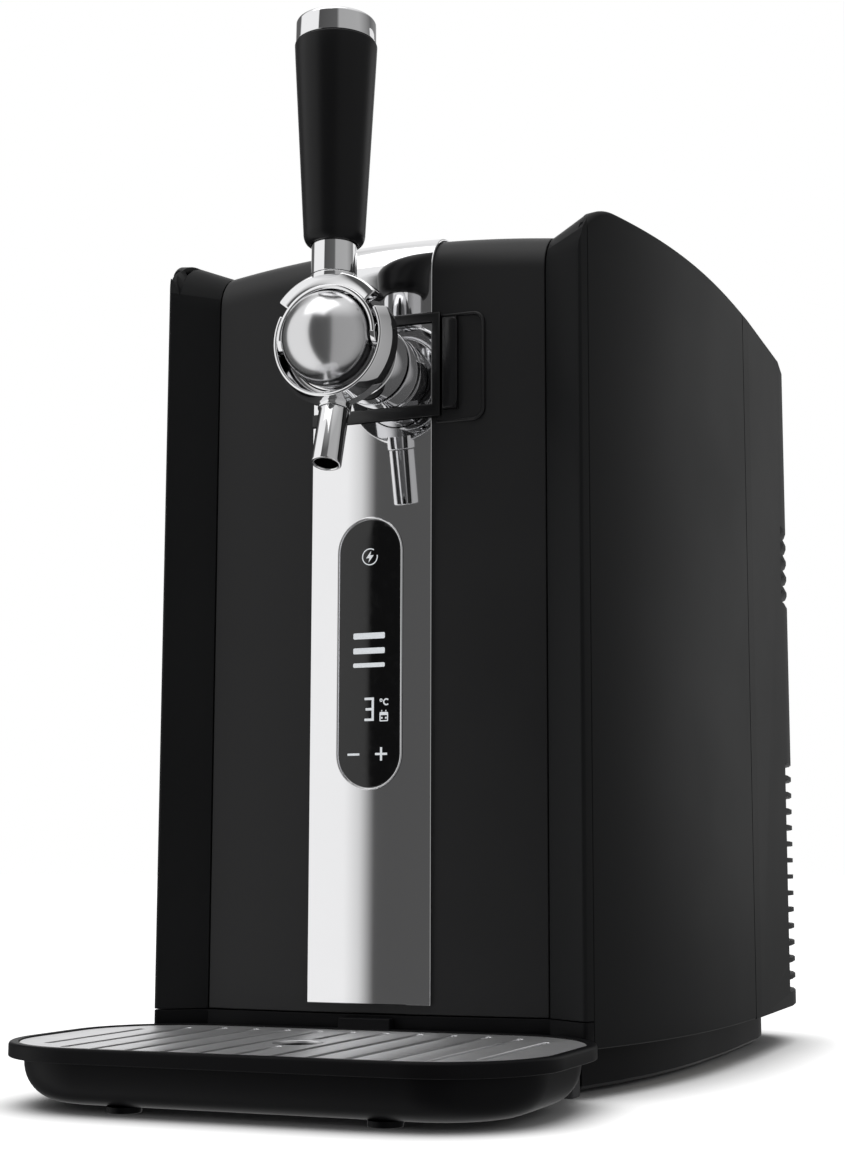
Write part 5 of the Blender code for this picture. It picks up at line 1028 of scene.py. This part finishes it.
def make_tap():
    through = along_depth(0, TAP_Z)
    groove = SHANK_GROOVE
    corners = [
        (BORE, SHANK_FRONT, EDGE_TIGHT),
        (SHANK_RADIUS, SHANK_FRONT, SHANK_EDGE),
        (SHANK_RADIUS, SHANK_SEAM_Y - groove, EDGE_TIGHT),
        (SHANK_RADIUS - groove, SHANK_SEAM_Y, EDGE_CRISP),
        (SHANK_RADIUS, SHANK_SEAM_Y + groove, EDGE_TIGHT),
        (SHANK_RADIUS, SHANK_STEP, SHANK_EDGE),
        (SHANK_END_RADIUS, SHANK_STEP, 0),
        (SHANK_END_RADIUS, SHANK_SHOULDER, 0),
        (SHANK_NECK_RADIUS, SHANK_SHOULDER, EDGE_TIGHT),
        (SHANK_NECK_RADIUS, SHANK_BACK, EDGE_FINE),
        (BORE, SHANK_BACK, EDGE_TIGHT),
    ]
    rest = {"slot": "chrome", "sharp": 50}
    chrome = {"material": CHROME, "body": "door", "closed": True, **rest}
    barrel = rounded(corners, True)
    turned("tap_barrel", barrel, through, steps=128, stands_for=["tap_shank"], **chrome)
    corners = [
        (COLLAR_ROOT, COLLAR_DISC_FRONT, 0),
        (COLLAR_INNER, COLLAR_DISC_FRONT, 0.0012),
        (COLLAR_INNER, COLLAR_FRONT, EDGE_SOFT),
        (COLLAR_RIM, COLLAR_FRONT, 0.0007),
        (COLLAR_OUTER, COLLAR_SHOULDER, 0.0016),
        (COLLAR_OUTER, COLLAR_BACK, 0.0008),
        (COLLAR_ROOT, COLLAR_BACK, 0),
    ]
    ends = -math.pi - COLLAR_END_ANGLE, COLLAR_END_ANGLE
    lip = rounded(corners, True, 7)
    swept_band("tap_ring", lip, *ends, "door", 160, stands_for=["tap_collar"], **rest)
    corners = [
        (BORE, COLLAR_DISC_FRONT, EDGE_TIGHT),
        (COLLAR_DISC_RADIUS, COLLAR_DISC_FRONT, EDGE_CRISP),
        (COLLAR_DISC_RADIUS, COLLAR_BACK, EDGE_CRISP),
        (BORE, COLLAR_BACK, EDGE_TIGHT),
    ]
    disc = rounded(corners, True)
    turned("tap_ring_disc", disc, through, CHROME, "door", 128, True, slot="chrome")
    angle = np.linspace(BALL_POLE, math.acos((BALL_Y - BALL_BACK) / BALL_RADIUS), 72)
    profile = np.stack([BALL_RADIUS * np.sin(angle), BALL_Y - BALL_RADIUS * np.cos(angle)], 1)
    recess = [(BORE, BALL_BACK), (BORE, PLUNGER_ROOM), (TINY, PLUNGER_ROOM)]
    profile = np.concatenate([profile, recess])
    turned("ball", profile, through, SATIN_CHROME, "door", 128, stands_for=["tap_ball"], **rest)
    sine, cosine = math.sin(SPOUT_TILT), math.cos(SPOUT_TILT)
    down = SPOUT_ROOT, (1, 0, 0), (0, -cosine, sine), (0, -sine, -cosine)
    low, high = SOCKET_START, SPOUT_START - FIT
    corners = [(SPOUT_BORE, low, 0), (SOCKET_RADIUS, low, 0)]
    corners += [(SOCKET_RADIUS, high, EDGE_SOFT), (SPOUT_BORE, high, 0)]
    turned("spout_socket", rounded(corners, True), down, steps=64, **chrome)
    corners = [(SPOUT_BORE, SPOUT_START, 0), (SPOUT_RADIUS, SPOUT_START, EDGE_TIGHT)]
    corners += [(SPOUT_RADIUS, SPOUT_END, EDGE_SOFT), (SPOUT_BORE, SPOUT_END, EDGE_SOFT)]
    tube = rounded(corners, True)
    turned("spout_tube", tube, down, steps=96, stands_for=["spout"], **chrome)


# Lever and handle


def disc_profile(radius, low, high, low_edge, high_edge):
    """A full round from one height to another, with its own radius at each edge."""
    ends = (radius, low, low_edge), (radius, high, high_edge)
    return rounded([(TINY, low, 0), *ends, (TINY, high, 0)])


def make_lever():
    rest = {"slot": "chrome", "sharp": 50}
    chrome = {"material": CHROME, "body": "lever", **rest}
    wide = BALL_Y - YOKE_HALF_WIDTH, BALL_Y + YOKE_HALF_WIDTH
    section = box_section(YOKE_INNER, YOKE_OUTER, *wide, EDGE_PLAIN)
    swept_band("lever_band", section, 0, math.pi, "lever", 120, stands_for=["lever_yoke"], **rest)
    inner = (YOKE_INNER + YOKE_OUTER) / 2
    section = box_section(inner, HOOD_OUTER, HOOD_FRONT, HOOD_BACK, HOOD_EDGE, 7)
    ends = HOOD_END_ANGLE, math.pi - HOOD_END_ANGLE
    swept_band("lever_hood", section, *ends, "lever", 100, **rest)
    corners = [(HUB_BORE, YOKE_INNER, 0), (HUB_RADIUS, YOKE_INNER, 0)]
    corners += [(HUB_RADIUS, YOKE_OUTER, EDGE_FINE), (HUB_BORE, YOKE_OUTER, EDGE_TIGHT)]
    hub = rounded(corners, True)
    for side, word in ((-1, "left"), (1, "right")):
        axis = (0, BALL_Y, TAP_Z), (0, 1, 0), (0, 0, 1), (side, 0, 0)
        turned(f"lever_hub_{word}", hub, axis, steps=48, closed=True, **chrome)
    axis = upright(0, STEM_Y)
    seat = disc_profile(SEAT_RADIUS, HOOD_TOP - HOOD_BOSS, HOOD_TOP, 0, EDGE_PLAIN)
    turned("lever_seat", seat, axis, **chrome)
    stem = disc_profile(STEM_RADIUS, HOOD_TOP + FIT, STEM_TOP, EDGE_FINE, EDGE_CRISP)
    turned("lever_rod", stem, axis, stands_for=["lever_stem"], **chrome)
    inner = STEM_RADIUS + FIT
    falling, rising = quarter(14)
    foot = (GRIP_LOWER_RADIUS - inner - FIT) * falling
    curve = np.stack([GRIP_LOWER_RADIUS - foot, GRIP_BOTTOM + GRIP_ROUNDING * rising], 1)
    rise = np.linspace(0, 1, 12)[1:-1, None]
    wall = curve[-1] + (np.array((GRIP_UPPER_RADIUS, GRIP_TOP - GRIP_CROWN)) - curve[-1]) * rise
    corners = [(*wall[-1], 0), (GRIP_UPPER_RADIUS, GRIP_TOP, GRIP_CROWN), (TINY, GRIP_TOP, 0)]
    socket = [(TINY, STEM_TOP + FIT), (inner, STEM_TOP + FIT), (inner, GRIP_BOTTOM)]
    profile = np.concatenate([socket, curve, wall[:-1], rounded(corners, False, 5)])
    grip = {"stands_for": ["handle_grip"], "slot": "black_grip", "sharp": 50}
    turned("grip", profile, axis, GRIP_BLACK, "lever", 128, **grip)
    low = GRIP_TOP + FIT
    falling, rising = quarter(12)
    edge = CAP_RADIUS - CAP_ROUNDING * rising
    height = CAP_TOP - CAP_DOME - CAP_ROUNDING * falling
    dome_r = np.linspace(edge[-1], CAP_POLE, 16)[1:]
    dome_z = CAP_TOP - CAP_DOME * (dome_r / edge[-1]) ** 2
    top = np.concatenate([np.stack([edge, height], 1), np.stack([dome_r, dome_z], 1)])
    corners = [(TINY, low, 0), (CAP_RADIUS, low, EDGE_FINE), (*top[0], 0)]
    profile = np.concatenate([rounded(corners, False, 5)[:-1], top])
    turned("cap", profile, axis, steps=128, stands_for=["handle_cap"], **chrome)


# Drip tray


def tray_outline(inset):
    front, back = TRAY_FRONT + inset, TRAY_BACK - inset
    return round_rectangle(TRAY_X - inset, front, back, TRAY_CORNER - inset)


def make_tray():
    base = {"material": BASE_BLACK, "body": "tray", "slot": "black_base"}
    seat = RIM_TOP - GRATE_DROP - GRATE_WALL - FIT
    ledge = RIM_WIDTH + RIM_LEDGE
    corners = [(0, RIM_LOW, EDGE_SOFT), (0, RIM_TOP, RIM_ROUNDING)]
    corners += [(RIM_WIDTH, RIM_TOP, EDGE_PLAIN), (RIM_WIDTH, seat, 0)]
    corners += [(ledge, seat, EDGE_CRISP), (ledge, RIM_LOW, EDGE_CRISP)]
    rim = rounded(corners, True, 5)
    stacked("tray_edge", tray_outline, rim, closed=True, stands_for=["tray_rim"], **base)
    near = -TAB_X, TRAY_BACK - RIM_WIDTH + FIT, RIM_LOW + FIT
    block("tray_tab", near, (TAB_X, -PANEL_BULGE - FIT, TAB_TOP), **base)
    across, up = quarter(14)
    hollow = BOWL_ROUNDING - TRAY_WALL
    outer = np.stack([BOWL_INSET + BOWL_ROUNDING * across, BOWL_BOTTOM + BOWL_ROUNDING * up], 1)
    inset, floor = BOWL_INSET + TRAY_WALL, BOWL_BOTTOM + TRAY_WALL
    inner = np.stack([inset + hollow * across, floor + hollow * up], 1)
    top = RIM_LOW - FIT
    levels = np.concatenate([outer, [(BOWL_INSET, top), (inset, top)], inner[::-1]])
    stacked("tray_dish", tray_outline, levels, stands_for=["tray_bowl"], **base)
    middle = (TRAY_FRONT + TRAY_BACK) / 2
    foot = disc_profile(TRAY_FOOT_RADIUS, 0, BOWL_BOTTOM, EDGE_SOFT, 0)
    for x in (-TRAY_FOOT_X, TRAY_FOOT_X):
        for y in (middle - TRAY_FOOT_Y, middle + TRAY_FOOT_Y):
            turned("tray_foot", foot, upright(x, y), BASE_BLACK, "tray", 40)


def make_grate():
    """Slots are shortened near the round corners by the corner arc's height at their width."""
    loops = [(tray_outline(RIM_WIDTH + FIT), True)]
    for row in range(-SLOT_ROWS, SLOT_ROWS + 1):
        x = row * SLOT_PITCH
        beyond = max(abs(x) - (TRAY_X - SLOT_SIDE_MARGIN - TRAY_CORNER), 0)
        short = TRAY_CORNER - math.sqrt(TRAY_CORNER**2 - beyond**2)
        near, far = SLOT_FRONT + short, SLOT_BACK - short
        stretches = [(near, far)]
        if abs(x) < DRAIN_RADIUS + DRAIN_MARGIN:
            reach = math.sqrt((DRAIN_RADIUS + DRAIN_MARGIN) ** 2 - x**2)
            stretches = [(near, DRAIN_Y - reach), (DRAIN_Y + reach, far)]
        for near, far in stretches:
            loops.append((stadium(SLOT_HALF, near, far, 6) + (x, 0), False))
    loops.append((ring_of(DRAIN_RADIUS, 0, DRAIN_Y, 64), False))
    near = GRATE_DROP - RIM_TOP

    def level(points):
        return np.stack([points[:, 0], points[:, 2], -points[:, 1]], 1)

    rest = {"lay": level, "stands_for": ["drip_grate"], "slot": "satin_steel"}
    far = GRATE_WALL + near
    plate("tray_grate", loops, near, far, EDGE_CRISP, GRATE_STEEL, "grate", **rest)


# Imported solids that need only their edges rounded: node, finish, body, edge width and slot
CARRIED = [
    ("rear_cover", SHELL_BLACK, "cabinet", 0.0006, "black_shell"),
    ("front_fascia", BASE_BLACK, "cabinet", 0.0004, "black_base"),
    ("front_frame", BASE_BLACK, "cabinet", 0.0003, "black_base"),
    ("base_plinth", BASE_BLACK, "cabinet", 0.0004, "black_base"),
    ("catch_strip", SATIN_STEEL, "cabinet", 0.0001, "satin_steel"),
    ("foot_rear_left", FOOT_GREY, "cabinet", 0.0005, "grey_foot"),
    ("foot_rear_right", FOOT_GREY, "cabinet", 0.0005, "grey_foot"),
    ("foot_front_left", FOOT_GREY, "cabinet", 0.0005, "grey_foot"),
    ("foot_front_right", FOOT_GREY, "cabinet", 0.0005, "grey_foot"),
    ("chamber_liner", LINER_GREY, "cabinet", 0.0006, "liner_grey"),
    ("liner_back", LINER_GREY, "cabinet", 0.0006, "liner_grey"),
    ("insulation_jacket", FOAM, "cabinet", 0.0005, "foam_cream"),
    ("cold_plate", ALUMINIUM, "cabinet", 0.0004, "aluminium"),
    ("thermoelectric_module", CERAMIC, "cabinet", 0.0002, "ceramic_white"),
    ("heat_sink", ALUMINIUM, "cabinet", 0.0002, "aluminium"),
    ("fan_housing", TRIM_BLACK, "cabinet", 0.0003, "black_trim"),
    ("fan_rotor", TRIM_BLACK, "fan", 0.0002, "black_trim"),
    ("keg_coupler", TRIM_BLACK, "cabinet", 0.0004, "black_trim"),
    ("air_hose", HOSE, "cabinet", 0.0001, "hose_silicone"),
    ("air_pump_body", TRIM_BLACK, "cabinet", 0.0005, "black_trim"),
    ("air_pump_motor", SATIN_STEEL, "cabinet", 0.0004, "satin_steel"),
    ("power_board", BOARD, "cabinet", 0.0002, "board_green"),
    ("power_inlet", TRIM_BLACK, "cabinet", 0.0004, "black_trim"),
    ("switch_frame", TRIM_BLACK, "cabinet", 0.0003, "black_trim"),
    ("switch_rocker", TRIM_BLACK, "rocker", 0.0003, "black_trim"),
    ("door_shell", SHELL_BLACK, "door", 0.0004, "black_shell"),
    ("door_liner", LINER_GREY, "door", 0.0004, "liner_grey"),
    ("door_foam", FOAM, "door", 0.0003, "foam_cream"),
    ("door_gasket", GASKET_BLACK, "door", 0.0002, "rubber_black"),
    ("door_pull", TRIM_BLACK, "pull", 0.0004, "black_trim"),
    ("pull_pin", SATIN_STEEL, "door", 0.0001, "satin_steel"),
    ("display_board", BOARD, "door", 0.0001, "board_green"),
    ("hinge_leaf_lower", SATIN_STEEL, "cabinet", 0.0002, "satin_steel"),
    ("hinge_leaf_upper", SATIN_STEEL, "cabinet", 0.0002, "satin_steel"),
    ("hinge_pin_lower", SATIN_STEEL, "cabinet", 0.0001, "satin_steel"),
    ("hinge_pin_upper", SATIN_STEEL, "cabinet", 0.0001, "satin_steel"),
    ("shank_nut", SATIN_STEEL, "door", 0.0004, "satin_steel"),
    ("lever_pivot_pin", SATIN_STEEL, "door", 0.0003, "satin_steel"),
    ("pinch_plunger", TRIM_BLACK, "plunger", 0.0003, "black_trim"),
]

make_cabinet()
make_panel()
make_door_corner()
make_strip()
make_display()
make_marks()
make_tap_frame()
make_tap()
make_lever()
make_tray()
make_grate()
for row in CARRIED:
    refined(*row)


# Stage, light and camera

FLOOR_REACH = 60.0
FLOOR_WHITE = 0.95
# Reach and range of the painted contact shadow: ambient occlusion fades the floor's added white
SHADOW_REACH = 0.06
SHADOW_RANGE = (0.30, 0.88)
PALE = (0.9, 0.9, 0.9, 1)
WHITE = (1, 1, 1, 1)
EVEN_STRENGTH = 0.22
SKY_RANGE = (0.62, 0.92)
CAMERA_PLACE = (0.3496, -0.8835, 0.0949)
CAMERA_TURN = 0.3764
CAMERA_RISE = 0.13256
LENS = 58.48
SENSOR = 36.0
SHIFT_ACROSS = -0.0349
SHIFT_UP = 0.0428

# Grey that metal mirrors, by degrees round from straight ahead
STUDIO = [(-180, 0.25), (-170, 0.90), (-142, 0.90), (-130, 0.12), (-97, 0.12), (-91, 0.97)]
STUDIO += [(-25.6, 0.97), (-24.6, 0.085), (27, 0.12), (34, 0.42), (92, 0.44), (125, 0.25)]
STUDIO += [(140, 0.15), (165, 0.25), (180, 0.25)]

# Lights: name, place, aim, size and power
LIGHTS = [
    ("key_above", (-0.2, -0.6, 1.7), (0, 0, 0.15), (1.3, 1.3), 5),
    ("fill_right", (0.95, 1.35, 0.6), (0.12, 0.1, 0.2), (0.8, 1.2), 2.2),
]


def either_ray(tree, path, first, second):
    """One where the ray is of the first or the second kind, else nothing."""
    inputs = {0: path[f"Is {first} Ray"], 1: path[f"Is {second} Ray"]}
    return add_node(tree, "ShaderNodeMath", inputs, operation="MAXIMUM").outputs["Value"]


def mixed_shader(tree, factor, first, second):
    inputs = {"Fac": factor, 1: first.outputs[0], 2: second.outputs[0]}
    return add_node(tree, "ShaderNodeMixShader", inputs)


def make_floor():
    """White floor. Seen directly or through glass it adds a white whose strength ambient occlusion
    fades near what stands on it, which paints a contact shadow there; the soft shadow of the lights
    lies over that."""
    sides = (-FLOOR_REACH, FLOOR_REACH)
    mesh = bpy.data.meshes.new("floor")
    mesh.from_pydata([(x, y, 0) for y in sides for x in sides], [], [(0, 1, 3, 2)])
    floor = put("floor", mesh)
    material, tree, shader = new_finish("white_floor")
    feed(tree, shader, {"Base Color": PALE, "Roughness": 0.9, "Specular IOR Level": 0.0})
    # Painted contact shadow: ambient occlusion dims the floor's added white near what stands on it
    near = add_node(tree, "ShaderNodeAmbientOcclusion", {"Distance": SHADOW_REACH}, samples=24)
    painted_contact_shadow = spread(tree, near.outputs["AO"], 0.0, FLOOR_WHITE, *SHADOW_RANGE)
    white = add_node(tree, "ShaderNodeEmission", {"Strength": painted_contact_shadow})
    path = add_node(tree, "ShaderNodeLightPath").outputs
    direct = either_ray(tree, path, "Camera", "Transmission")
    lit = {0: shader.outputs["BSDF"], 1: white.outputs["Emission"]}
    both = mixed_shader(tree, direct, shader, add_node(tree, "ShaderNodeAddShader", lit))
    feed(tree, tree.nodes["Material Output"], {"Surface": both.outputs["Shader"]})
    mesh.materials.append(material)
    floor.visible_glossy = False


def make_world():
    """White to the camera. To metal and glass it is a studio: bright on the left and above, a dark
    stretch round the viewer, grey to the right. To matt surfaces it is one even grey."""
    world = bpy.data.worlds.new("studio")
    bpy.context.scene.world = world
    world.use_nodes = True
    tree = world.node_tree
    tree.nodes.clear()
    place = add_node(tree, "ShaderNodeTexCoord").outputs["Generated"]
    parts = add_node(tree, "ShaderNodeSeparateXYZ", {"Vector": place}).outputs
    ahead = add_node(tree, "ShaderNodeMath", {0: parts["Y"], 1: -1}, operation="MULTIPLY")
    inputs = {0: parts["X"], 1: ahead.outputs["Value"]}
    turn = add_node(tree, "ShaderNodeMath", inputs, operation="ARCTAN2").outputs["Value"]
    share = spread(tree, turn, 0, 1, -math.pi, math.pi)
    ramp = add_node(tree, "ShaderNodeValToRGB", {"Fac": share})
    stops = ramp.color_ramp.elements
    while len(stops) < len(STUDIO):
        stops.new(0.5)
    for element, (degrees, grey) in zip(stops, STUDIO):
        element.position = (degrees + 180) / 360
        element.color = (grey, grey, grey, 1)
    high = spread(tree, parts["Z"], 0, 1, *SKY_RANGE)
    sky = blended(tree, high, ramp.outputs["Color"], PALE)
    even = add_node(tree, "ShaderNodeBackground", {"Color": WHITE, "Strength": EVEN_STRENGTH})
    mirrored = add_node(tree, "ShaderNodeBackground", {"Color": sky})
    shown = add_node(tree, "ShaderNodeBackground", {"Color": WHITE})
    path = add_node(tree, "ShaderNodeLightPath").outputs
    shiny = either_ray(tree, path, "Glossy", "Transmission")
    unseen = mixed_shader(tree, shiny, even, mirrored)
    whole = mixed_shader(tree, path["Is Camera Ray"], unseen, shown)
    add_node(tree, "ShaderNodeOutputWorld", {"Surface": whole.outputs["Shader"]})


def area_light(name, place, aim, size, power):
    light = bpy.data.lights.new(name, "AREA")
    light.shape = "RECTANGLE"
    light.size, light.size_y = size
    light.energy = power
    obj = put(name, light)
    obj.location = place
    direction = np.array(aim) - np.array(place)
    direction /= np.linalg.norm(direction)
    heading = math.atan2(direction[1], direction[0]) - math.pi / 2
    obj.rotation_euler = (math.acos(-direction[2]), 0, heading)


def make_camera():
    camera = bpy.data.cameras.new("photo_camera")
    camera.lens = LENS
    camera.sensor_width = SENSOR
    camera.shift_x = SHIFT_ACROSS
    camera.shift_y = SHIFT_UP
    camera.clip_start = 0.01
    camera.clip_end = 200
    obj = put("photo_camera", camera)
    obj.location = CAMERA_PLACE
    obj.rotation_euler = (math.pi / 2 + CAMERA_RISE, 0, CAMERA_TURN)
    bpy.context.scene.camera = obj


make_floor()
make_world()
for row in LIGHTS:
    area_light(*row)
make_camera()
bpy.context.scene.view_settings.view_transform = "Standard"
